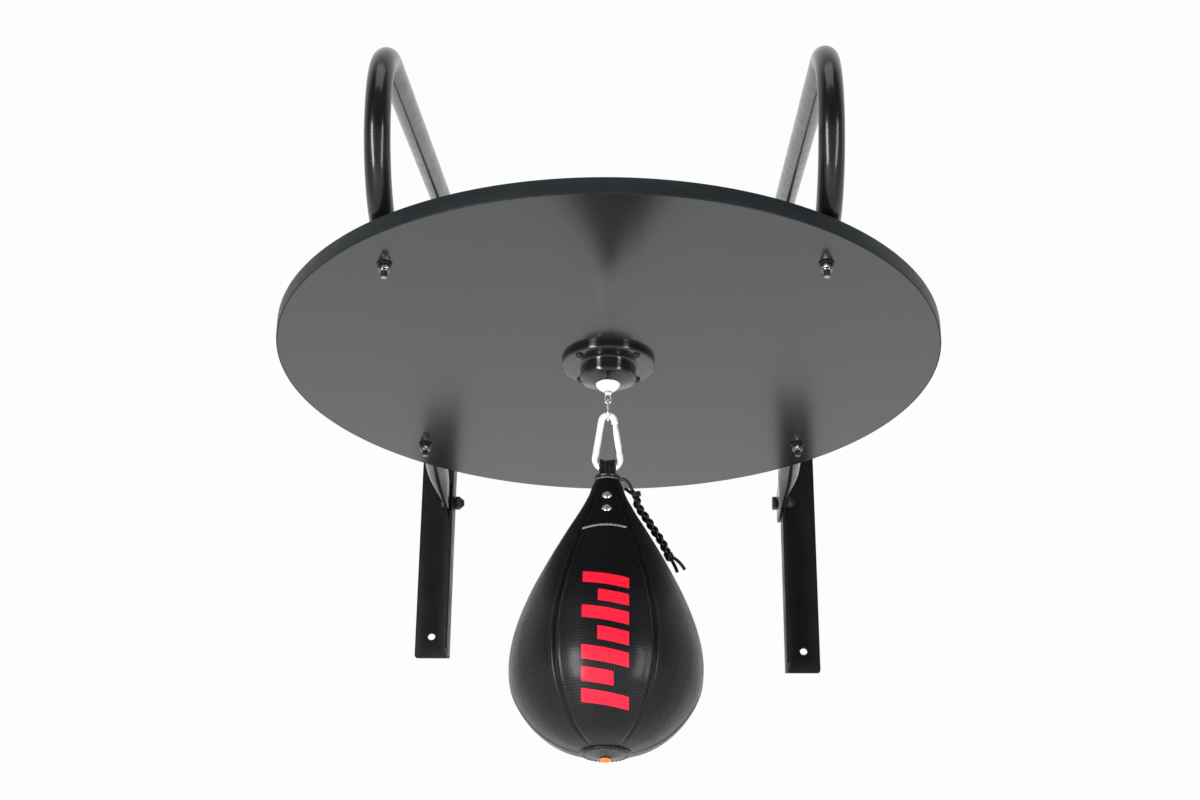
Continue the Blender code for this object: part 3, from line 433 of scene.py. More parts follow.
def rod(radius, low, high, sides=24):
    """A cylinder between two points."""
    low, along = Vector(low), Vector(high) - Vector(low)
    turn = along.to_track_quat("Z", "Y").to_matrix().to_4x4()
    return prism(sides, radius, 0.0, along.length, Matrix.Translation(low) @ turn)


def evaluated(made, *tools):
    """A bmesh of an object as its modifiers leave it. The object and its tools are removed."""
    bpy.context.view_layer.update()
    graph = bpy.context.evaluated_depsgraph_get()
    mesh = bpy.data.meshes.new_from_object(made.evaluated_get(graph))
    bm = bmesh.new()
    bm.from_mesh(mesh)
    bmesh.ops.remove_doubles(bm, verts=bm.verts, dist=1e-7)
    bpy.data.meshes.remove(mesh)
    for used in (made, *tools):
        data = used.data
        bpy.data.objects.remove(used, do_unlink=True)
        kept = bpy.data.meshes if isinstance(data, bpy.types.Mesh) else bpy.data.curves
        kept.remove(data)
    return bm


def combine(base, others, operation="UNION"):
    """A bmesh with others joined to it or cut from it."""
    made, *tools = [link("tool", mesh_of(bm, "tool")) for bm in (base, *others)]
    for tool in tools:
        step = made.modifiers.new("step", "BOOLEAN")
        step.operation = operation
        step.object = tool
        step.solver = "EXACT"
    return evaluated(made, *tools)


def tube(points, radius, sides=6, cyclic=False):
    """A bmesh of a round wire along a line of points; sides is the curve's bevel resolution."""
    curve = bpy.data.curves.new("line", "CURVE")
    curve.dimensions = "3D"
    curve.bevel_depth = radius
    curve.bevel_resolution = sides
    curve.use_fill_caps = True
    spline = curve.splines.new("POLY")
    spline.points.add(len(points) - 1)
    for spot, place in zip(spline.points, points):
        spot.co = (*place, 1.0)
    spline.use_cyclic_u = cyclic
    bm = evaluated(link("line", curve))
    bmesh.ops.recalc_face_normals(bm, faces=bm.faces)
    return bm


def gather(parts):
    """One bmesh that holds several, which are freed."""
    whole = bmesh.new()
    for part in parts:
        mesh = bpy.data.meshes.new("part")
        part.to_mesh(mesh)
        part.free()
        whole.from_mesh(mesh)
        bpy.data.meshes.remove(mesh)
    return whole


def woven(rows, columns, place, wrap_rows=False):
    """A grid wrapped into a tube or a ring: place(row, column) gives each point."""
    bm = bmesh.new()
    bmesh.ops.create_grid(bm, x_segments=rows, y_segments=columns, size=1.0)
    for vert in bm.verts:
        row = round((vert.co.x + 1) / 2 * rows)
        column = round((vert.co.y + 1) / 2 * columns)
        vert.co = place(row % rows if wrap_rows else row, column % columns)
    bmesh.ops.remove_doubles(bm, verts=bm.verts, dist=1e-7)
    bmesh.ops.recalc_face_normals(bm, faces=bm.faces)
    return bm


def smooth(points, count):
    """A Catmull-Rom curve through points, with count steps between two of them."""
    spots = [Vector(p) for p in points]
    ends = [2 * spots[0] - spots[1], *spots, 2 * spots[-1] - spots[-2]]
    line = []
    for before, one, two, after in zip(ends, ends[1:], ends[2:], ends[3:]):
        for k in range(count):
            t = k / count
            line.append(0.5 * (2 * one + (two - before) * t
                               + (2 * before - 5 * one + 4 * two - after) * t ** 2
                               + (3 * one - before - 3 * two + after) * t ** 3))
    return [*line, spots[-1]]


def arc(centre, radius, start, end, count):
    """Points (u, v) on an arc, angles in degrees."""
    turns = [math.radians(start + (end - start) * k / count) for k in range(count + 1)]
    return [(centre[0] + radius * math.cos(a), centre[1] + radius * math.sin(a)) for a in turns]


def clamp(value, low=0.0, high=1.0):
    return min(high, max(low, value))


def run_length(points):
    return sum((Vector(b) - Vector(a)).length for a, b in zip(points, points[1:]))


# ---------------------------------------------------------------- arms and brackets

TUBE_WALL = 0.0018
BEND_RADIUS = 0.076
BEND_AHEAD = 0.0182
ARM_RISE = math.radians(16.5)
ARM_X = middle("board_bolt_right_front")[0]
TAB_INSET = 0.0047
TAB_TIP = 0.0060
TAB_LENGTH = 0.034
TAB_EASE = 0.075
TAB_THICK = 2 * TUBE_WALL + 0.0006
BRACKET_THICK, BRACKET_WIDE = 0.003, 0.038
CORNER_ROUND, WALL_HOLE, WALL_HOLE_IN, ARM_HOLE = 0.0035, 0.004, 0.024, 0.0044


def flat_half():
    """Half the height of the tube's pressed end."""
    return (math.pi * (settings().tube_dia - TUBE_WALL) / 2 + TUBE_WALL) / 2


def arm_stations():
    """(y, z, heading, flatness) along one arm, closely spaced."""
    level = BOARD_THICK + GAP + settings().tube_dia / 2
    rows = [(-TAB_TIP, level, math.pi, 1.0)]
    shares = [k / 16 for k in range(17)]
    rows += [(-TAB_TIP - TAB_LENGTH - TAB_EASE * s, level, math.pi, 1 - s) for s in shares]
    bend_y = middle("board_bolt_left_front")[1] - BEND_AHEAD
    bend_z = level + BEND_RADIUS
    sweep = math.pi - ARM_RISE
    for k in range(45):
        turn = sweep * k / 44
        rows.append((bend_y - BEND_RADIUS * math.sin(turn), bend_z - BEND_RADIUS * math.cos(turn),
                     math.pi - turn, 0.0))
    start_y, start_z = rows[-1][:2]
    run = (-start_y - TAB_TIP) / math.cos(ARM_RISE) - flat_half() * math.tan(ARM_RISE)
    ends = [(run - TAB_LENGTH - TAB_EASE * s, 1 - s) for s in reversed(shares)] + [(run, 1.0)]
    rows += [(start_y + along * math.cos(ARM_RISE), start_z + along * math.sin(ARM_RISE),
              ARM_RISE, flat) for along, flat in ends]
    return rows


def arm_section(flat, inset, turn):
    """(across, up) of one point of the tube's section, round or pressed flat or between."""
    radius = settings().tube_dia / 2 - inset
    half_thick = TAB_THICK / 2 - inset
    side, up = math.cos(turn), math.sin(turn)
    straight = (flat_half() - inset - half_thick) * clamp(2.2 * up, -1.0)
    return (radius * side * (1 - flat) + half_thick * side * flat,
            radius * up * (1 - flat) + (straight + half_thick * up) * flat)


def arm_shape(side):
    """One arm: the skin runs out along the tube and comes back as the lining of its bore."""
    stations = arm_stations()
    path = [(row, 0.0) for row in stations] + [(row, TUBE_WALL) for row in reversed(stations)]
    around = 40

    def spot(row, column):
        (y, z, heading, flat), inset = path[row]
        eased = flat * flat * (3 - 2 * flat)
        across, high = arm_section(eased, inset, 2 * math.pi * (column + 0.5) / around)
        x = side * (ARM_X - TAB_INSET * eased) + across
        return Vector((x, y + high * math.sin(heading), z - high * math.cos(heading)))

    return woven(len(path), around, spot, True)


def bracket_shape(label, side):
    """An angle iron with eased edges, drilled for its wall screws and arm bolts."""
    low, high = span(f"wall_bracket_{label}")
    thick = BRACKET_THICK
    corner, far = (low.x, high.x) if side > 0 else (high.x, low.x)
    inner = corner + side * thick
    outline = [(corner, 0), (far, 0), (far, -thick), (inner, -thick), (inner, low.y),
               (corner, low.y)]
    bm = bmesh.new()
    face = bm.faces.new([bm.verts.new((x, y, low.z)) for x, y in outline])
    grown = bmesh.ops.extrude_face_region(bm, geom=[face])
    bmesh.ops.translate(bm, vec=(0, 0, high.z - low.z),
                        verts=[v for v in grown["geom"] if isinstance(v, bmesh.types.BMVert)])
    bmesh.ops.recalc_face_normals(bm, faces=bm.faces)
    near = 1e-6
    fillet = [e for e in bm.edges
              if all(abs(v.co.x - inner) < near and abs(v.co.y + thick) < near for v in e.verts)]
    bevel(bm, fillet, thick, 4)
    corners = [e for e in bm.edges if all(abs(v.co.x - far) < near for v in e.verts)
               and abs(e.verts[0].co.y - e.verts[1].co.y) > 1e-4]
    bevel(bm, corners, CORNER_ROUND, 5)
    ease(bm, 0.0004, 2, 50)
    hole_x = corner + side * (BRACKET_WIDE + thick) / 2
    drills = [rod(WALL_HOLE, (hole_x, -DRILL, z), (hole_x, DRILL, z), 32)
              for z in (low.z + WALL_HOLE_IN, high.z - WALL_HOLE_IN)]
    for level in LEVELS:
        _, y, z = middle(f"bracket_bolt_{label}_{level}")
        drills.append(rod(ARM_HOLE, (corner - DRILL, y, z), (corner + DRILL, y, z)))
    return combine(bm, drills, "DIFFERENCE")


class SPEEDBAG_OT_frame(bpy.types.Operator):
    """Two bent tube arms with pressed ends, and the two wall brackets they are bolted to"""

    bl_idname = "speedbag.frame"
    bl_label = "Arms and brackets"

    def execute(self, context):
        for label, side in (("left", -1), ("right", 1)):
            piece(f"arm_{label}", arm_shape(side), "tube", "frame", "tube_coat",
                  f"arm_tube_{label}")
            piece(f"bracket_{label}", bracket_shape(label, side), "bracket", "frame",
                  "bracket_coat", f"wall_bracket_{label}")
        return {"FINISHED"}


# ---------------------------------------------------------------- board

BAND_THICK, BAND_ROUND = 0.0012, 0.0006


class SPEEDBAG_OT_board(bpy.types.Operator):
    """The round laminated board and the band round its edge"""

    bl_idname = "speedbag.board"
    bl_label = "Board"

    def execute(self, context):
        outer, inner, bend = BOARD_RADIUS, BOARD_RADIUS - BAND_THICK, BAND_ROUND
        core = inner - 0.00005
        profile = [(0, BOARD_THICK), (core, BOARD_THICK), (core, 0), (0, 0)]
        panel = lathe(profile, 256, False, AXIS)
        piece("board_panel", panel, "laminate", "frame", "laminate", "board")
        profile = [*arc((outer - bend, BOARD_THICK - bend), bend, 90, 0, 4),
                   *arc((outer - bend, bend), bend, 0, -90, 4), (inner, 0), (inner, BOARD_THICK)]
        ring = lathe(profile, 256, True, AXIS)
        piece("edge_band", ring, "band", "frame", "edge_band", "board_edge_band")
        return {"FINISHED"}


# ---------------------------------------------------------------- fasteners

Screw = namedtuple("Screw", "thread flats head nut washer")
BOARD_SCREW = Screw(0.006, 0.010, 0.004, 0.006, 0.0135)
BRACKET_SCREW = Screw(0.008, 0.013, 0.0053, 0.0075, 0.016)
WASHER_THICK, WASHER_ROUND = 0.0012, 0.0003
THREAD_PITCH = 0.0010
FACET_EASE = 0.0005


def threaded(radius, low, high):
    """(radius, height) points of a screw thread's outline, from its top down to its tip."""
    count = max(2, int((high - low) / THREAD_PITCH))
    step = (high - low) / count
    line = [(radius, high)]
    for k in range(count):
        top = high - (high - low) * k / count
        line += [(radius, top - step * 0.15), (radius * 0.88, top - step * 0.5),
                 (radius, top - step * 0.85)]
    return [*line, (radius * 0.8, low - 0.0004), (0, low - 0.0004)]


def hex_bolt(screw, length, place):
    """A hexagon bolt: head above the origin, threaded shank below it."""
    cap = ease(prism(6, screw.flats / math.sqrt(3), 0, screw.head), FACET_EASE, 2, 20)
    root = screw.head * 0.5
    shank = [(0, root), *threaded(screw.thread / 2, 0.0004 - length, root - 0.004)]
    bm = combine(cap, [lathe(shank, 24, False)])
    bm.transform(place)
    return bm


def lock_nut(screw, place):
    """A nut with a domed locking ring, resting on the origin."""
    across, height = screw.flats, screw.nut
    body = ease(prism(6, across / math.sqrt(3), 0, height * 0.7), FACET_EASE, 2, 20)
    ring = [(0, height), (across * 0.30, height),
            *arc((across * 0.36, height - 0.0010), 0.0010, 90, 0, 4),
            (across * 0.45, height * 0.6), (0, height * 0.6)]
    bore = prism(20, screw.thread / 2 + GAP, -DRILL, height + DRILL)
    bm = combine(combine(body, [lathe(ring, 32, False)]), [bore], "DIFFERENCE")
    bm.transform(place)
    return bm


def washer(screw, place):
    inner, outer, bend = screw.thread / 2 + 0.0004, screw.washer / 2, WASHER_ROUND
    profile = [(outer - bend, WASHER_THICK), (outer, WASHER_THICK - bend), (outer, bend),
               (outer - bend, 0), (inner, 0), (inner, WASHER_THICK)]
    return lathe(profile, 40, True, place)


class SPEEDBAG_OT_fasteners(bpy.types.Operator):
    """Bolts, washers and lock nuts of the board and of the brackets"""

    bl_idname = "speedbag.fasteners"
    bl_label = "Fasteners"

    def execute(self, context):
        for corner in ("left_front", "right_front", "left_rear", "right_rear"):
            self.board_set(corner)
        for label in ("left", "right"):
            for level in LEVELS:
                self.cross_set(f"{label}_{level}")
        return {"FINISHED"}

    def board_set(self, tail):
        """One board bolt with its washer and nut, its head on top, and its bright tip."""
        low, high = span(f"board_bolt_{tail}")
        x, y, _ = middle(f"board_bolt_{tail}")
        top = high.z - BOARD_SCREW.head
        washer_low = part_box(f"board_washer_{tail}")[0][2]
        nut_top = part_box(f"board_nut_{tail}")[1][2]
        flip = Matrix.Rotation(math.pi, 4, "X")
        tip = [(0, 0), (0.0024, 0), (0.0026, -0.0003), (0.0026, -0.0010), (0, -0.0010)]
        tip = lathe(tip, 24, False, Matrix.Translation((x, y, low.z + 0.0008)))
        self.fit("board", "", tail, BOARD_SCREW, top - low.z, "dark chrome",
                 (Matrix.Translation((x, y, top)), Matrix.Translation((x, y, washer_low)),
                  Matrix.Translation((x, y, nut_top)) @ flip), tip)

    def cross_set(self, tail):
        """One bracket bolt with its washer and nut, along X with its head on the left."""
        low, high = span(f"bracket_bolt_{tail}")
        _, y, z = middle(f"bracket_bolt_{tail}")
        turn = Matrix.Rotation(math.pi / 2, 4, "Y")
        head = BRACKET_SCREW.head
        seats = [Matrix.Translation((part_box(f"bracket_{part}_{tail}")[0][0], y, z)) @ turn
                 for part in ("washer", "nut")]
        bolt = Matrix.Translation((low.x + head, y, z)) @ Matrix.Rotation(-math.pi / 2, 4, "Y")
        self.fit("bracket", "cross_", tail, BRACKET_SCREW, high.x - low.x - head, "black steel",
                 (bolt, *seats))

    @staticmethod
    def fit(node, prefix, tail, screw, length, nut_look, places, tip=None):
        """A bolt, a washer and a nut, each shown at its place, and the bolt's tip if it shows."""
        def add(part, shape, look):
            piece(f"{prefix}{part}_{tail}", shape, look, "frame", "black_steel",
                  f"{node}_{part}_{tail}")

        bolt, plate, nut = places
        add("bolt", hex_bolt(screw, length, bolt), "black steel")
        if tip:
            piece(f"bolt_tip_{tail}", tip, "thread end", "frame", "nickel")
        add("washer", washer(screw, plate), "black steel")
        add("nut", lock_nut(screw, nut), nut_look)


# ---------------------------------------------------------------- swivel

BALL_RADIUS = (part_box("swivel_ball")[1][0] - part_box("swivel_ball")[0][0]) / 2
BALL_FLAT, BALL_BORE = 0.0090, 0.0026
BALL_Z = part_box("swivel_ball")[1][2] - BALL_FLAT
SCREWS = [f"swivel_screw_{k + 1}" for k in range(4)]
SEAT_THICK, SCREW_HOLE = 0.0027, 0.0023


def housing_shape():
    """The flanged housing, dished in at its mouth and hollow for the ball's seat."""
    mouth, deep = BALL_RADIUS - 0.0008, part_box("swivel_housing")[0][2]
    seat = BALL_RADIUS + SEAT_THICK + GAP
    rim, wall, face = 0.043, 0.026, -0.0058
    profile = [(rim, -GAP), *arc((rim - 0.0020, face + 0.0020), 0.0020, 0, -90, 5),
               (rim - 0.0045, face), (rim - 0.0060, face - 0.0002), (wall + 0.0060, face - 0.0002),
               *arc((wall + 0.0022, face - 0.0024), 0.0022, 90, 180, 5),
               *arc((wall - 0.0050, deep + 0.0080), 0.0050, 0, -62, 7),
               (mouth + 0.0009, deep + 0.0003), (mouth + 0.0002, deep), (mouth, deep + 0.0004),
               (mouth + 0.0008, deep + 0.0022), (seat, deep + 0.0022), (seat, -GAP)]
    spots = [middle(node) for node in SCREWS]
    drills = [rod(SCREW_HOLE, (x, y, DRILL), (x, y, -DRILL), 20) for x, y, _ in spots]
    return combine(lathe(profile, 96, True, AXIS), drills, "DIFFERENCE")


def pan_screw(spot, low, high):
    """A cross-recessed pan-head screw whose head faces down."""
    face = low + 0.0020
    profile = [(0, low), (0.0018, low + 0.0001), *arc((0.0022, low + 0.0014), 0.0014, -80, 0, 5),
               (0.0036, face), (0.0020, face), (0.0020, high - 0.003), (0, high)]
    bm = lathe(profile, 32, False, Matrix.Translation((spot.x, spot.y, 0)))
    recess = []
    for turn in (25, 115):
        slot = block((-0.0018, -0.0004, -0.0012), (0.0018, 0.0004, 0.0009))
        slot.transform(Matrix.Translation((spot.x, spot.y, low))
                       @ Matrix.Rotation(math.radians(turn), 4, "Z"))
        recess.append(slot)
    return combine(bm, recess, "DIFFERENCE")


class SPEEDBAG_OT_swivel(bpy.types.Operator):
    """The swivel: flanged housing, screws, ball seat, nylon ball and eye"""

    bl_idname = "speedbag.swivel"
    bl_label = "Swivel"

    def execute(self, context):
        piece("housing", housing_shape(), "swivel", "frame", "swivel_paint", "swivel_housing")
        for k, node in enumerate(SCREWS):
            low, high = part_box(node)
            screw = pan_screw(middle(node), low[2], high[2])
            piece(f"pan_screw_{k + 1}", screw, "black steel", "frame", "black_steel", node)
        self.seat()
        self.ball()
        self.eye()
        return {"FINISHED"}

    def seat(self):
        low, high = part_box("ball_seat")
        play = BALL_RADIUS + 0.0004
        outer = (high[0] - low[0]) / 2
        start = math.degrees(math.asin((low[2] - BALL_Z) / play))
        inside = arc((0, BALL_Z), play, start, 42, 16)
        profile = [(outer, high[2]), (outer, low[2]), *inside, (inside[-1][0], high[2])]
        cup = lathe(profile, 64, True, AXIS)
        piece("seat_cup", cup, "nylon", "frame", "nylon", "ball_seat")

    def ball(self):
        start = math.degrees(math.asin(BALL_FLAT / BALL_RADIUS))
        end = math.degrees(math.acos(BALL_BORE / BALL_RADIUS))
        skin = arc((0, 0), BALL_RADIUS, start, -end + 1.5, 28)
        profile = [(BALL_BORE, BALL_FLAT), *skin, (BALL_BORE, skin[-1][1] + 0.0003)]
        ball = lathe(profile, 64, True, Matrix.Translation((0, CY, BALL_Z)))
        piece("ball", ball, "nylon", "ball", "nylon", "swivel_ball")

    def eye(self):
        top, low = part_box("swivel_eye")[1][2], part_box("swivel_eye")[0][2]
        under = BALL_Z - BALL_RADIUS - GAP
        cap, stem, collar, wire, bend = 0.0045, 0.0022, 0.0035, 0.0009, 0.0024
        profile = [(0, top), (cap - 0.0005, top), (cap, top - 0.0008), (cap, top - 0.0020),
                   (stem, top - 0.0020), (stem, under), (collar - 0.0003, under),
                   (collar, under - 0.0004), (collar, under - 0.0012),
                   (collar - 0.0006, under - 0.0017), (0, under - 0.0020)]
        body = lathe(profile, 32, False, AXIS)
        foot, root = low + wire + bend, under - 0.0008
        line = [(-bend, root), *arc((0, foot), bend, 180, 360, 24), (bend, root)]
        loop = tube([(x, CY, z) for x, z in line], wire, 5)
        piece("eye", combine(body, [loop]), "nickel", "eye", "nickel", "swivel_eye")


# ---------------------------------------------------------------- link and snap hook

HOOK_LOW, HOOK_HIGH = span("hook_body")
WIRE, TOP_BEND, LOW_BEND = 0.0030, 0.0060, 0.01125
PIVOT_DOWN, NOSE_UP = 0.0078, 0.0034
GATE_RADIUS, BORE, BORE_RADIUS = 0.0028, 0.020, 0.0016
PIN_RADIUS, PIN_HALF, PIN_HOLE = 0.0008, 0.0026, 0.0010
COIL_RADIUS, COIL_WIRE, COIL_STEPS = 0.0010, 0.00025, 120
LINK_WIRE, LINK_BEND = 0.0012, 0.0050


class SPEEDBAG_OT_hook(bpy.types.Operator):
    """The oval link and the snap hook with its sprung gate"""

    bl_idname = "speedbag.hook"
    bl_label = "Link and hook"

    def execute(self, context):
        low, high = (corner[2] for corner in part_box("link_ring"))
        line = (arc((0, high - LINK_WIRE - LINK_BEND), LINK_BEND, 0, 180, 24)
                + arc((0, low + LINK_WIRE + LINK_BEND), LINK_BEND, 180, 360, 24))
        ring = tube([(0, CY + y, z) for y, z in line], LINK_WIRE, 6, True)
        piece("ring", ring, "nickel", "link", "nickel", "link_ring")
        self.hook()
        return {"FINISHED"}

    def hook(self):
        """The body as a bent wire, and on its right side the gate between pivot and nose."""
        high = HOOK_HIGH.z - WIRE - TOP_BEND
        low = HOOK_LOW.z + WIRE + LOW_BEND
        lean = math.asin((LOW_BEND - TOP_BEND) / (high - low))
        normal = Vector((math.cos(lean), math.sin(lean)))
        top = Vector((0, high)) + TOP_BEND * normal
        bottom = Vector((0, low)) + LOW_BEND * normal
        along = (bottom - top).normalized()
        turn = math.degrees(lean)
        pivot = top + along * PIVOT_DOWN
        foot = (bottom - top).length - PIVOT_DOWN - NOSE_UP
        place = Matrix.Translation((pivot.x, CY, pivot.y)) @ Matrix.Rotation(-lean, 4, "Y")
        line = [tuple(top + along * (PIVOT_DOWN - 0.0045)),
                *arc((0, high), TOP_BEND, turn, 180 - turn, 28),
                *arc((0, low), LOW_BEND, 180 - turn, 360 + turn, 48),
                tuple(bottom - along * (NOSE_UP - 0.0008))]
        body = ease(tube([(x, CY, z) for x, z in line], WIRE, 10), 0.0004, 2, 60)
        tongues = [block((-0.0017, -0.0012, -0.0020), (0.0017, 0.0012, 0.0062), 0.0003),
                   block((-0.0019, -0.0012, -foot - 0.0030), (0.0019, 0.0012, -foot + 0.0034),
                         0.0003)]
        hole = rod(PIN_HOLE, (0, -DRILL, 0), (0, DRILL, 0), 20)
        for shape in (*tongues, hole):
            shape.transform(place)
        body = combine(combine(body, tongues), [hole], "DIFFERENCE")
        piece("hook", body, "zinc", "hook", "zinc", "hook_body")

        cuts = [block((-DRILL, -0.0016, -0.0042), (DRILL, 0.0016, DRILL)),
                block((-DRILL, -0.0016, -foot - DRILL), (DRILL, 0.0016, -foot + 0.0048)),
                rod(PIN_HOLE, (0, -DRILL, 0), (0, DRILL, 0), 20),
                prism(20, BORE_RADIUS, -BORE, 0.0)]
        gate = combine(ease(prism(32, GATE_RADIUS, -foot, 0.0022), 0.0004, 2, 60), cuts,
                       "DIFFERENCE")
        pin = ease(rod(PIN_RADIUS, (0, -PIN_HALF, 0), (0, PIN_HALF, 0), 20), 0.0002, 2, 60)
        coil = []
        for k in range(COIL_STEPS + 1):
            around = 2 * math.pi * k / 20
            coil.append((COIL_RADIUS * math.cos(around), COIL_RADIUS * math.sin(around),
                         -BORE + 0.0009 + (BORE - 0.0061) * k / COIL_STEPS))
        for name, shape, look, owner, node in (
                ("gate", gate, "zinc", "gate", "hook_gate"),
                ("gate_rivet", pin, "zinc", "hook", "hook_gate_pin"),
                ("gate_coil", tube(coil, COIL_WIRE, 3), "nickel", "gate", "hook_gate_spring")):
            shape.transform(place)
            piece(name, shape, look, owner, look, node)


# ---------------------------------------------------------------- bag

NECK_RADIUS = 0.0118
BAG_WALL = 0.0022
BAG_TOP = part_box("bag_shell")[1][2]
BAG_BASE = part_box("bag_shell")[0][2]
BAG_SHAPE = [(0.0, None), (0.020, 0.163), (0.060, 0.205), (0.120, 0.300), (0.200, 0.440),
             (0.310, 0.620), (0.450, 0.822), (0.585, 0.960), (0.700, 1.000), (0.800, 0.945),
             (0.900, 0.740), (0.968, 0.445), (1.000, 0.053)]
SEAMS = [math.radians(angle) for angle in (-150, -90, -30, 30, 90, 150)]
PANEL_TURN = math.radians(60)
FACING_HALF = PANEL_TURN / 2
SEAM_CROWDING = 0.125        # how far, in radians, the mesh is drawn together towards the seams
FACING_END = BAG_TOP - 0.0555
FACING_SAG, FACING_THICK = 0.0022, 0.0008
RIVET_DROP = {"upper": 0.0205, "lower": 0.0365}
RIVET_RADIUS = 0.0043
STITCH_STEP = 0.0002         # spacing of the samples that stitches are laid on
SEAM_DEPTH, SEAM_WIDE = 0.0011, 0.0011
WELT_HIGH, WELT_OUT, WELT_WIDE = 0.00035, 0.0034, 0.0016
PANEL_CROWN, PANEL_DROP = 0.0012, 0.0009
FOLD_HIGH, FOLD_COUNT, FOLD_REACH = 0.0004, 9, 0.05
FOLD_FREE = math.radians(40)  # no folds this near the front and rear
SEAM_CLEAR = 0.0030          # the grid stops this near a seam


def bag_line(count):
    """(radius, z) points down the outside of the bag."""
    spots = []
    for down, wide in BAG_SHAPE:
        radius = NECK_RADIUS if wide is None else wide * settings().bag_dia / 2
        spots.append((radius, BAG_TOP - down * (BAG_TOP - BAG_BASE), 0))
    return [(p.x, p.y) for p in smooth(spots, count)]


def bag_radius(z):
    line = bag_line(8)
    for (r1, z1), (r2, z2) in zip(line, line[1:]):
        if z2 <= z <= z1:
            return r1 + (r2 - r1) * (z - z1) / (z2 - z1)
    return line[0][0] if z > line[0][1] else line[-1][0]


def front_angle(x, y):
    """Angle round the bag, 0 at its front and growing to the right."""
    return math.atan2(x, -y)


def seam_distance(angle, radius):
    """Distance along the surface to the nearest seam."""
    return min(abs(math.remainder(angle - seam, 2 * math.pi)) for seam in SEAMS) * radius


def relief(angle, radius, z):
    """How far the outer face stands off the plain turned shape."""
    near = seam_distance(angle, radius)
    fade = clamp((BAG_TOP - 0.004 - z) / 0.03)
    groove = -SEAM_DEPTH * math.exp(-(near / SEAM_WIDE) ** 2)
    shoulder = WELT_HIGH * math.exp(-((near - WELT_OUT) / WELT_WIDE) ** 2)
    crown = PANEL_CROWN * min(1.0, near / (radius * PANEL_TURN / 2 + 1e-6)) - PANEL_DROP
    facing = 0.0
    if abs(angle) < FACING_HALF or abs(angle) > math.pi - FACING_HALF:
        turn = math.remainder(angle, math.pi) / FACING_HALF
        edge = FACING_END - FACING_SAG * turn * turn
        facing = FACING_THICK * clamp((z - edge) / FACING_THICK + 0.5)
    folds = 0.0
    if FOLD_FREE <= abs(angle) <= math.pi - FOLD_FREE:
        folds = max(0.0, 1 - (BAG_TOP - z) / FOLD_REACH)
        folds *= FOLD_HIGH * math.sin(FOLD_COUNT * angle + 1.0)
    return (groove + shoulder + crown) * fade + facing + folds


def bag_skin():
    """The sewn shell: turned, then shaped by its seams, panels and neck facing."""
    outer = bag_line(8)
    extra = []
    for one, two in zip(outer, outer[1:]):
        extra.append(one)
        if one[1] > FACING_END - 0.004 and two[1] < FACING_END + 0.004:
            extra += [tuple(Vector(one).lerp(Vector(two), k / 5)) for k in range(1, 5)]
    outer = [*extra, outer[-1]]
    inner = []
    for k, spot in enumerate(outer[::6] + [outer[-1]]):
        radius = max(spot[0] - BAG_WALL * (1.0 if spot[1] > BAG_BASE + 0.06 else 0.6), 0.003)
        lift = 0.0 if k == 0 else min(BAG_WALL, (BAG_TOP - spot[1]) * 0.05)
        inner.append((radius, spot[1] + lift))
    bm = lathe([*outer, *inner[::-1]], 360, True)
    for vert in bm.verts:
        angle, radius = front_angle(vert.co.x, vert.co.y), math.hypot(vert.co.x, vert.co.y)
        angle -= SEAM_CROWDING * math.sin(6 * (angle - math.radians(30)))
        vert.co.x, vert.co.y = radius * math.sin(angle), -radius * math.cos(angle)
    limit = {round(z, 6): radius for radius, z in outer}
    seam_layer = bm.verts.layers.float.new("seam")
    for vert in bm.verts:
        radius = math.hypot(vert.co.x, vert.co.y)
        outside = limit.get(round(vert.co.z, 6))
        if outside is None or abs(radius - outside) > 1e-5 or radius < 0.006:
            continue
        angle = front_angle(vert.co.x, vert.co.y)
        vert[seam_layer] = math.exp(-(seam_distance(angle, radius) / SEAM_CLEAR) ** 4)
        push = relief(angle, radius, vert.co.z) * min(1.0, radius / 0.02)
        vert.co.x *= 1 + push / radius
        vert.co.y *= 1 + push / radius
    wrap_panels(bm, outer)
    bm.transform(AXIS)
    return bm


def wrap_panels(bm, outer):
    """Gives each panel a flat map: across from its middle and down from the neck, in metres."""
    layer = bm.loops.layers.uv.new("panels")
    lengths = [0.0]
    for one, two in zip(outer, outer[1:]):
        lengths.append(lengths[-1] + math.dist(one, two))
    heights = [z for _, z in outer]

    def down(z):
        for k, (z1, z2) in enumerate(zip(heights, heights[1:])):
            if z2 <= z <= z1:
                return lengths[k] + (lengths[k + 1] - lengths[k]) * (z1 - z) / max(z1 - z2, 1e-9)
        return lengths[-1] if z < heights[-1] else 0.0

    pitch = settings().grid_pitch
    for face in bm.faces:
        heart = face.calc_center_median()
        panel = round(front_angle(heart.x, heart.y) / PANEL_TURN)
        for loop in face.loops:
            spot = loop.vert.co
            radius = math.hypot(spot.x, spot.y)
            turn = math.remainder(front_angle(spot.x, spot.y) - panel * PANEL_TURN, 2 * math.pi)
            loop[layer].uv = (turn * radius + panel * PANEL_SHIFT * pitch, down(spot.z))


def rivet_place(level, side):
    """Matrix that stands a rivet's head on the neck."""
    z, step = BAG_TOP - RIVET_DROP[level], 0.002
    slope = (bag_radius(z - step) - bag_radius(z + step)) / (2 * step)
    normal = Vector((0, side, slope)).normalized()
    spot = Vector((0, CY + side * bag_radius(z), z)) + normal * 0.0006
    return Matrix.Translation(spot) @ normal.to_track_quat("Z", "Y").to_matrix().to_4x4()


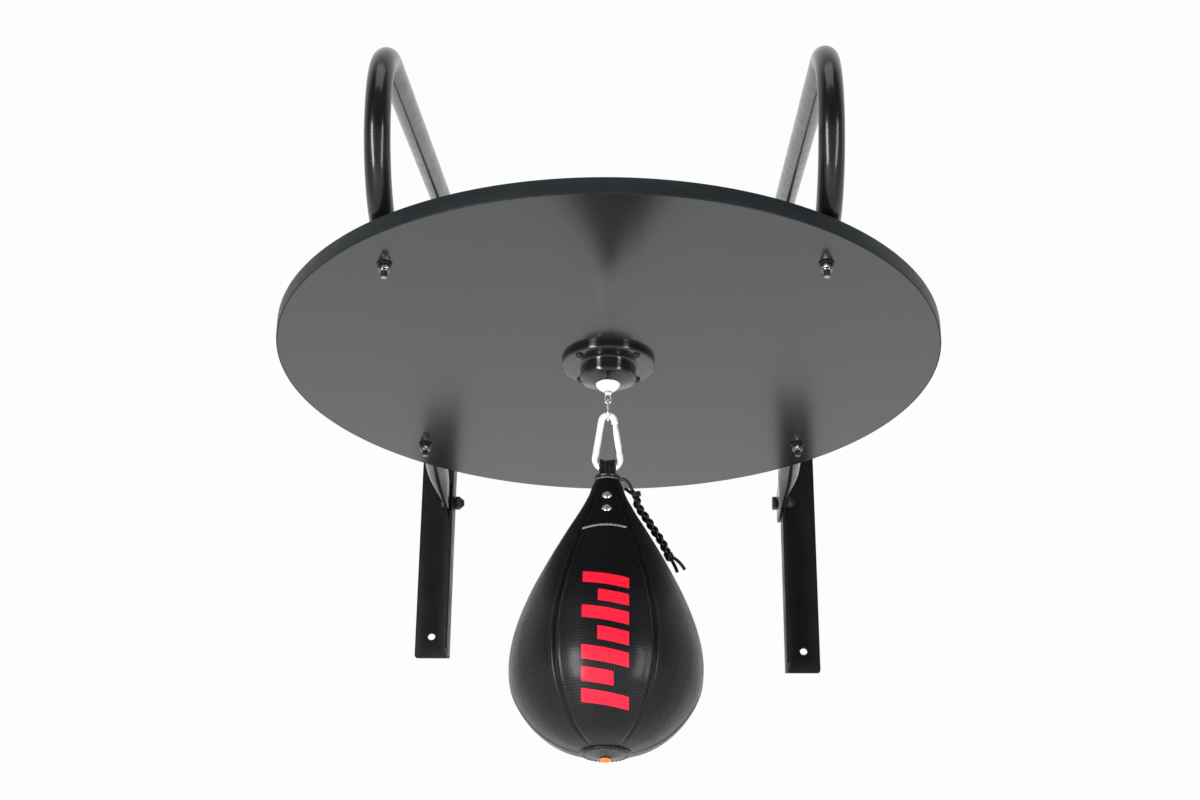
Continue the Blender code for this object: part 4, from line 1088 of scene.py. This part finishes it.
def stitch_run(line, out, length=0.0026, gap=0.0012, thick=0.00035):
    """Separate stitches along a line, each a short thread standing a little off the surface."""
    samples = []
    for one, two in zip(line, line[1:]):
        one, two = Vector(one), Vector(two)
        count = max(1, int((two - one).length / STITCH_STEP))
        samples += [one.lerp(two, k / count) for k in range(count)]
    parts, total, step = [], run_length(line), length + gap
    for k in range(int(total / step)):
        start = int(k * step / total * len(samples))
        end = min(len(samples) - 1, int((k * step + length) / total * len(samples)))
        a, mid, b = samples[start], samples[(start + end) // 2], samples[end]
        top = out(mid) * thick
        parts.append(tube([a - out(a) * 0.0002, a.lerp(mid, 0.4) + top, b.lerp(mid, 0.4) + top,
                           b - out(b) * 0.0002], thick, 2))
    return parts


class SPEEDBAG_OT_bag(bpy.types.Operator):
    """The sewn bag with its facing, stitches, rivets, bottom patch, valve and collar"""

    bl_idname = "speedbag.bag"
    bl_label = "Bag"

    def execute(self, context):
        skin = piece("bag", bag_skin(), "bag", "bag", "bag_leather", "bag_shell")
        skin.data.set_sharp_from_angle(angle=math.radians(70))
        self.rivets()
        self.facing_stitches()
        self.bottom()
        self.collar()
        return {"FINISHED"}

    def rivets(self):
        profile = [(0, 0.0024), (0.0012, 0.00232), (0.0024, 0.0020), (0.0034, 0.0014),
                   (0.0040, 0.0008), (RIVET_RADIUS, 0.0002), (RIVET_RADIUS - 0.0002, 0.0),
                   (0.0015, 0.0), (0.0015, -0.0040), (0, -0.0040)]
        for label, side in (("front", -1), ("rear", 1)):
            for level in ("upper", "lower"):
                cap = lathe(profile, 40, False, rivet_place(level, side))
                piece(f"dome_rivet_{label}_{level}", cap, "nickel", "bag", "nickel",
                      f"rivet_{label}_{level}")

    def facing_stitches(self):
        parts = []
        for centre in (0.0, math.pi):
            for drop in (0.0004, 0.0016):
                line = []
                for k in range(61):
                    share = k / 30 - 1
                    angle = centre + FACING_HALF * 0.97 * share
                    z = FACING_END - drop - FACING_SAG * share * share
                    radius = bag_radius(z) + 0.0007
                    line.append((radius * math.sin(angle), CY - radius * math.cos(angle), z))
                parts += stitch_run(line, self.outward, 0.0034, 0.0006, 0.00032)
        piece("facing_stitches", gather(parts), "pale stitches and painted highlight", "bag", "bag_leather")

    @staticmethod
    def outward(spot):
        return Vector((spot.x, spot.y - CY, 0)).normalized()

    def bottom(self):
        """The round patch that closes the bag's foot, its stitches and the valve through it."""
        low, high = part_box("bottom_patch")
        line = bag_line(8)[::-1]
        radius, hole, thick = (high[0] - low[0]) / 2, 0.0036, 0.0014

        def foot_z(r):
            for (r1, z1), (r2, z2) in zip(line, line[1:]):
                if r1 <= r <= r2:
                    return z1 + (z2 - z1) * (r - r1) / (r2 - r1)
            return line[0][1]

        shift = low[2] + thick - foot_z(hole)
        radii = [radius - (radius - hole) * k / 14 for k in range(15)]
        above = [(r, foot_z(r) + shift) for r in radii]
        below = [(r - (0.0004 if k == 0 else 0), z - thick * (0.6 if k == 0 else 1.0))
                 for k, (r, z) in enumerate(above)]
        below.insert(1, (radii[0] - 0.0010, below[0][1] - thick * 0.36))
        patch = lathe(below + above[::-1], 128, True, AXIS)
        piece("patch", patch, "plain leather", "bag", "bag_leather", "bottom_patch")
        r, down = radius - 0.0028, Vector((0, 0, -1))
        turns = [2 * math.pi * k / 96 for k in range(97)]
        ring = [(r * math.sin(a), CY - r * math.cos(a), foot_z(r) + shift - thick) for a in turns]
        piece("patch_stitches", gather(stitch_run(ring, lambda spot: down)), "stitches", "bag",
              "bag_leather")
        foot, top = (corner[2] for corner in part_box("valve"))
        profile = [(0, 0), (0.0014, 0), (0.0014, 0.0008), (0.0019, 0.0008), (0.0036, 0.0001),
                   (0.0046, 0.0007), (0.0050, 0.0014), (0.0050, 0.0021), (0.0034, 0.0022),
                   (0.0034, 0.0060), (0.0012, 0.0068)]
        profile = [(r, foot + z) for r, z in profile] + [(0.0012, top), (0, top)]
        plug = lathe(profile, 48, False, AXIS)
        piece("valve_plug", plug, "valve", "bag", "orange_rubber", "valve")

    def collar(self):
        """The rolled, slightly wavy collar, with a pale cord round its front that paints a
        highlight on its lower edge.
        """
        low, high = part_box("neck_collar")
        outer, inner, roll = (high[0] - low[0]) / 2, 0.0097, 0.0011
        mid = (low[2] + high[2]) / 2
        half = (high[2] - low[2]) / 2
        profile = [*arc((outer - roll, mid + half - roll), roll, 90, -50, 6),
                   (outer - 0.0007, mid + 0.0004), (outer - 0.0007, mid - 0.0004),
                   *arc((outer - roll, mid - half + roll), roll, 50, -90, 6),
                   (inner, low[2]), (inner, high[2])]
        ring = lathe(profile, 96, True)
        for vert in ring.verts:
            angle = front_angle(vert.co.x, vert.co.y)
            wave = 1 + 0.008 * math.sin(5 * angle) + 0.006 * math.sin(11 * angle + 1)
            if math.hypot(vert.co.x, vert.co.y) > inner + 0.0004:
                vert.co.x *= wave
                vert.co.y *= wave
        ring.transform(AXIS)
        piece("collar", ring, "plain leather", "bag", "bag_leather", "neck_collar")
        # A pale cord round the front of the collar's lower edge: a painted highlight.
        turns = [math.radians(2.5 * k - 52) for k in range(42)]
        reach, level = outer + 0.0001, low[2] + 0.0008
        line = [(reach * math.sin(a), CY - reach * math.cos(a), level) for a in turns]
        piece("collar_welt", tube(line, 0.00028, 2), "pale stitches and painted highlight", "bag", "bag_leather")



HALF_WIDE, HALF_THICK = 0.0065, 0.0011
FLARE, PINCH = 0.21, 0.13    # shares of its width that the strap gains, and loses over the hook
STRAP_AROUND = 20


class SPEEDBAG_OT_strap(bpy.types.Operator):
    """The leather strap that hangs the bag from the hook, with its stitched edges"""

    bl_idname = "speedbag.strap"
    bl_label = "Hanger strap"

    def execute(self, context):
        line = smooth([(y, z, 0) for y, z in self.route()], 4)

        def spot(row, column):
            here = line[row]
            before, after = line[max(row - 1, 0)], line[min(row + 1, len(line) - 1)]
            along = (after - before).normalized()
            x, off = self.section(column)
            flare = clamp((here.y - BAG_TOP - 0.0040) / 0.007)
            crown = clamp((here.y - BAG_TOP - 0.0120) / 0.004)
            lift = 0.0016 * crown * (x / HALF_WIDE) ** 2
            wave = 0.0003 * crown * math.sin(900 * x + 0.6)
            return Vector((x * (1 + FLARE * flare - PINCH * crown), CY + here.x + along.y * off,
                           here.y - along.x * off + lift + wave))

        bm = woven(len(line) - 1, STRAP_AROUND, spot)
        bmesh.ops.edgeloop_fill(bm, edges=[e for e in bm.edges if e.is_boundary])
        bmesh.ops.recalc_face_normals(bm, faces=bm.faces)
        piece("strap", bm, "plain leather", "bag", "bag_leather", "hanger_strap")
        self.stitching(line)
        return {"FINISHED"}

    @staticmethod
    def stitching(line):
        """Rows of stitches along the strap where it stands clear of the collar."""
        parts = []
        clear = [spot for spot in line if spot.y > BAG_TOP + 0.0070]
        for x in (-0.0052, -0.0017, 0.0017, 0.0052):
            for side in (-1, 1):
                rise = [spot for spot in clear if spot.x * side > 0.0048]
                row = [Vector((x * 1.12, CY + spot.x + side * HALF_THICK, spot.y)) for spot in rise]
                if len(row) > 1:
                    out = Vector((0, side, 0))
                    parts += stitch_run(row, lambda spot, out=out: out, 0.0017, 0.0007, 0.00022)
        piece("strap_stitches", gather(parts), "stitches", "bag", "bag_leather")

    @staticmethod
    def section(column):
        """(x, off) round the strap's section: flat faces with rounded, slightly raised edges."""
        turn = 2 * math.pi * (column + 0.5) / STRAP_AROUND
        side, up = math.cos(turn), math.sin(turn)
        x = (HALF_WIDE - HALF_THICK) * clamp(1.6 * side, -1.0) + HALF_THICK * side
        return x, HALF_THICK * (0.94 * clamp(1.5 * up, -1.0) + 0.06 * up)

    @staticmethod
    def route():
        """(y, z) along the strap: up inside the neck, over the hook and down again."""
        half_gap = 0.0043
        mid = half_gap + HALF_THICK
        crown_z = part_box("hanger_strap")[1][2] - mid - HALF_THICK
        down = [(mid, HOOK_LOW.z - 0.001)]
        for drop in (0.0, 0.004, 0.008, 0.012, 0.016, 0.020, 0.024, 0.028, 0.033, 0.038, 0.042):
            z = BAG_TOP + 0.0005 - drop
            inner = bag_radius(min(z, BAG_TOP - 0.0005)) - BAG_WALL * 1.2
            chord = math.sqrt(max(inner ** 2 - 0.0067 ** 2, 0.0))
            down.append((max(mid, chord - 0.0026), z))
        crown = arc((0, crown_z), mid, 0, 180, 12)
        return down[::-1] + crown + [(-y, z) for y, z in down]


# ---------------------------------------------------------------- lace

def at_bag(*route):
    return [Vector((x, CY + y, z)) for x, y, z in route]


LACE_LEAD = at_bag(
    (0.0125, -0.0010, -0.1184), (0.0148, -0.0014, -0.1190), (0.0172, -0.0014, -0.1204),
    (0.0192, -0.0012, -0.1226), (0.0208, -0.0008, -0.1254), (0.0222, -0.0004, -0.1288))
LACE_UNDER = at_bag(
    (0.0152, 0.0026, -0.1262), (0.0176, 0.0034, -0.1272), (0.0200, 0.0034, -0.1292),
    (0.0222, 0.0022, -0.1312))
PLAIT_LINE = at_bag(
    (0.0262, 0.0, -0.1329), (0.0264, 0.0, -0.1383), (0.0274, 0.0, -0.1437),
    (0.0310, 0.0, -0.1502), (0.0362, 0.0, -0.1580), (0.0422, 0.0, -0.1681),
    (0.0482, 0.0, -0.1777), (0.0526, 0.0, -0.1866), (0.0552, 0.0, -0.1922))
TAIL_UPPER = at_bag(
    (0.0592, -0.0020, -0.1946), (0.0622, -0.0024, -0.1970), (0.0650, -0.0027, -0.2000),
    (0.0672, -0.0028, -0.2030), (0.0690, -0.0028, -0.2058))
TAIL_LOWER = at_bag(
    (0.0580, 0.0021, -0.1962), (0.0596, 0.0027, -0.1992), (0.0612, 0.0030, -0.2026),
    (0.0624, 0.0032, -0.2062))
PLAIT_TURN = 0.024           # along the plait, for one strand to cross and come back
PLAIT_SWING, PLAIT_DEPTH = 0.0024, 0.0017
LACE_STEP = 0.0012
KNOT_RADIUS, KNOT_TURNS, KNOT_WIDE = 0.0026, 2.3, 0.0052


def even(points, step):
    """Points a step apart along a line."""
    total = run_length(points)
    count = max(2, round(total / step))
    spots, walked, k = [], 0.0, 0
    for n in range(count + 1):
        target = total * n / count
        while k < len(points) - 2 and walked + (points[k + 1] - points[k]).length < target:
            walked += (points[k + 1] - points[k]).length
            k += 1
        piece = (points[k + 1] - points[k]).length
        spots.append(points[k].lerp(points[k + 1], min(1.0, (target - walked) / max(piece, 1e-9))))
    return spots


def strand(phase, settle_in=0.006):
    """One strand's path down the plait, swinging from side to side and in and out."""
    line = even(smooth(PLAIT_LINE, 8), LACE_STEP)
    total = run_length(line)
    path, walked = [], 0.0
    for k, spot in enumerate(line):
        before, after = line[max(k - 1, 0)], line[min(k + 1, len(line) - 1)]
        along = (after - before).normalized()
        depth = Vector((0, 1, 0))
        side = along.cross(depth).normalized()
        ramp = min(1.0, walked / settle_in, (total - walked) / settle_in)
        ramp = 0.45 + 0.55 * ramp
        turn = 2 * math.pi * walked / PLAIT_TURN + phase
        path.append(spot + side * PLAIT_SWING * ramp * math.sin(turn)
                    + depth * PLAIT_DEPTH * ramp * math.sin(2 * turn))
        if k < len(line) - 1:
            walked += (line[k + 1] - spot).length
    return path


def knot_wrap(heart, along):
    """A strand wound round the lace as a knot."""
    along = along.normalized()
    side = along.orthogonal().normalized()
    other = along.cross(side)
    count = round(KNOT_TURNS * 20)
    points = []
    for k in range(count + 1):
        share = k / count
        turn = 2 * math.pi * KNOT_TURNS * share
        swell = KNOT_RADIUS * (1 + 0.12 * math.sin(3 * turn + 0.5))
        points.append(heart + along * KNOT_WIDE * (share - 0.5) + side * swell * math.cos(turn)
                      + other * swell * math.sin(turn))
    return points


class SPEEDBAG_OT_lace(bpy.types.Operator):
    """The three-strand plaited lace that closes the bag's neck"""

    bl_idname = "speedbag.lace"
    bl_label = "Lace"

    def execute(self, context):
        dia = settings().lace_dia
        knots = self.knots(dia)
        one, two, three = (strand(2 * math.pi / 3 * k) for k in range(3))
        rows = (("strand_upper", LACE_LEAD + one[3:-3] + TAIL_UPPER, "bare", knots,
                 ("lace_lead", "lace_tail_upper")),
                ("strand_lower", LACE_UNDER + two[3:-3] + TAIL_LOWER, "bare", (),
                 ("lace_tail_lower",)),
                ("strand_third", three, "knot", (), ("lace_plait",)))
        for name, route, far_end, tied, nodes in rows:
            path = even(smooth(route, 4), LACE_STEP)
            cord = piece(name, tube(path, dia / 2, 4), "lace", "bag", "lace_leather", *nodes)
            round(run_length(path), 3)
            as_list(tied)
        return {"FINISHED"}

    @staticmethod
    def knots(dia):
        made = []
        for label, heart, along in (
                ("head", PLAIT_LINE[0], PLAIT_LINE[2] - PLAIT_LINE[0]),
                ("end", PLAIT_LINE[-1], PLAIT_LINE[-1] - PLAIT_LINE[-3])):
            made.append(piece(f"{label}_knot", tube(knot_wrap(heart, along), dia / 2, 4), "lace",
                              "bag", "lace_leather", f"lace_{label}_knot"))
        return made


# ---------------------------------------------------------------- stage

CAMERA_SPOT = Vector((0.0316, -2.1982, -0.8676))
CAMERA_YAW, CAMERA_PITCH, CAMERA_ROLL = (math.radians(a) for a in (-1.263, 25.10, 0.513))
CAMERA_LENS = 63.82
FLOOR_Z, FLOOR_HALF = -1.90, 20.0
DIM, DIM_FROM, DIM_TO = 0.07, -0.35, 0.15   # least light of the surroundings, and where it ends
LAMPS = (("key", (-1.45, -2.3, -0.75), (0.5, 1.9), 72.0, (1.0, 1.0, 1.0)),
         ("fill", (1.65, -2.1, -0.70), (0.4, 1.9), 34.0, (0.93, 0.96, 1.0)),
         ("top", (0.0, -1.6, 1.7), (1.6, 1.2), 14.0, (1.0, 1.0, 1.0)))


class SPEEDBAG_OT_stage(bpy.types.Operator):
    """Camera, pale floor and soft studio light"""

    bl_idname = "speedbag.stage"
    bl_label = "Stage"

    def execute(self, context):
        self.camera()
        self.floor()
        self.sky()
        self.lights()
        scene = context.scene
        scene.view_settings.view_transform = "Standard"
        scene.view_settings.look = "None"
        return {"FINISHED"}

    def camera(self):
        lens = bpy.data.cameras.new("camera")
        lens.lens = CAMERA_LENS
        lens.sensor_width = 36.0
        lens.clip_start = 0.05
        eye = link("camera", lens)
        forward = Vector((math.sin(CAMERA_YAW) * math.cos(CAMERA_PITCH),
                          math.cos(CAMERA_YAW) * math.cos(CAMERA_PITCH), math.sin(CAMERA_PITCH)))
        right = Vector((math.cos(CAMERA_YAW), -math.sin(CAMERA_YAW), 0))
        up = right.cross(forward)
        across = math.cos(CAMERA_ROLL) * right + math.sin(CAMERA_ROLL) * up
        upward = -math.sin(CAMERA_ROLL) * right + math.cos(CAMERA_ROLL) * up
        turn = Matrix((across, upward, -forward)).transposed()
        eye.matrix_world = Matrix.Translation(CAMERA_SPOT) @ turn.to_4x4()
        bpy.context.scene.camera = eye

    def floor(self):
        bm = bmesh.new()
        bmesh.ops.create_grid(bm, x_segments=4, y_segments=4, size=FLOOR_HALF,
                              matrix=Matrix.Translation((0, 0, FLOOR_Z)))
        show("floor", bm, "floor")

    def sky(self):
        """White to the camera. To all else it dims on the camera's side of the object."""
        world = bpy.data.worlds.new("studio")
        bpy.context.scene.world = world
        world.use_nodes = True
        tree = world.node_tree
        tree.nodes.clear()

        def add(kind, *values):
            made = tree.nodes.new("ShaderNode" + kind)
            for socket, value in values:
                made.inputs[socket].default_value = value
            return made

        split = add("SeparateXYZ")
        ramp = add("MapRange", ("From Min", DIM_FROM), ("From Max", DIM_TO), ("To Min", DIM),
                   ("To Max", 1.0))
        soft = add("Background", ("Color", (1.0, 1.0, 1.0, 1.0)))
        plain_white = add("Background", ("Color", (0.98, 0.98, 0.98, 1.0)), ("Strength", 1.0))
        pick = add("MixShader")
        for source, socket in (
                (add("TexCoord").outputs["Generated"], split.inputs[0]),
                (split.outputs[1], ramp.inputs["Value"]),
                (ramp.outputs[0], soft.inputs["Strength"]),
                (add("LightPath").outputs["Is Camera Ray"], pick.inputs[0]),
                (soft.outputs[0], pick.inputs[1]), (plain_white.outputs[0], pick.inputs[2]),
                (pick.outputs[0], add("OutputWorld").inputs[0])):
            tree.links.new(source, socket)

    def lights(self):
        for name, spot, (wide, tall), power, colour in LAMPS:
            lamp = bpy.data.lights.new(name, "AREA")
            lamp.shape = "RECTANGLE"
            lamp.size, lamp.size_y = wide, tall
            lamp.energy = power
            lamp.color = colour
            made = link(name, lamp)
            made.visible_camera = False
            aim = Vector((0, CY, -0.1)) - Vector(spot)
            turn = aim.to_track_quat("-Z", "Y").to_matrix().to_4x4()
            made.matrix_world = Matrix.Translation(spot) @ turn


# ---------------------------------------------------------------- add-on

class SPEEDBAG_PT_pieces(bpy.types.Panel):
    """Lists the pieces, to build one by one"""

    bl_idname = "SPEEDBAG_PT_pieces"
    bl_label = "Speed bag platform"
    bl_space_type = "VIEW_3D"
    bl_region_type = "UI"
    bl_category = "Speed bag"

    def draw(self, context):
        for name in SpeedBagSettings.__annotations__:
            self.layout.prop(context.scene.speed_bag, name)
        for kind in OPERATORS:
            self.layout.operator(kind.bl_idname)


OPERATORS = (SPEEDBAG_OT_stage, SPEEDBAG_OT_lace, SPEEDBAG_OT_frame, SPEEDBAG_OT_board,
             SPEEDBAG_OT_fasteners, SPEEDBAG_OT_swivel, SPEEDBAG_OT_hook, SPEEDBAG_OT_bag,
             SPEEDBAG_OT_strap)
CLASSES = (SpeedBagSettings, *OPERATORS, SPEEDBAG_PT_pieces)


def register():
    for kind in CLASSES:
        bpy.utils.register_class(kind)
    bpy.types.Scene.speed_bag = PointerProperty(type=SpeedBagSettings)


def unregister():
    del bpy.types.Scene.speed_bag
    for kind in reversed(CLASSES):
        bpy.utils.unregister_class(kind)


def main():
    register()
    for kind in OPERATORS:
        group, name = kind.bl_idname.split(".")
        getattr(getattr(bpy.ops, group), name)()
    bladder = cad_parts["bladder"]
    for slot in bladder.material_slots:
        slot.material = finish("rubber")


if __name__ == "__main__":
    main()
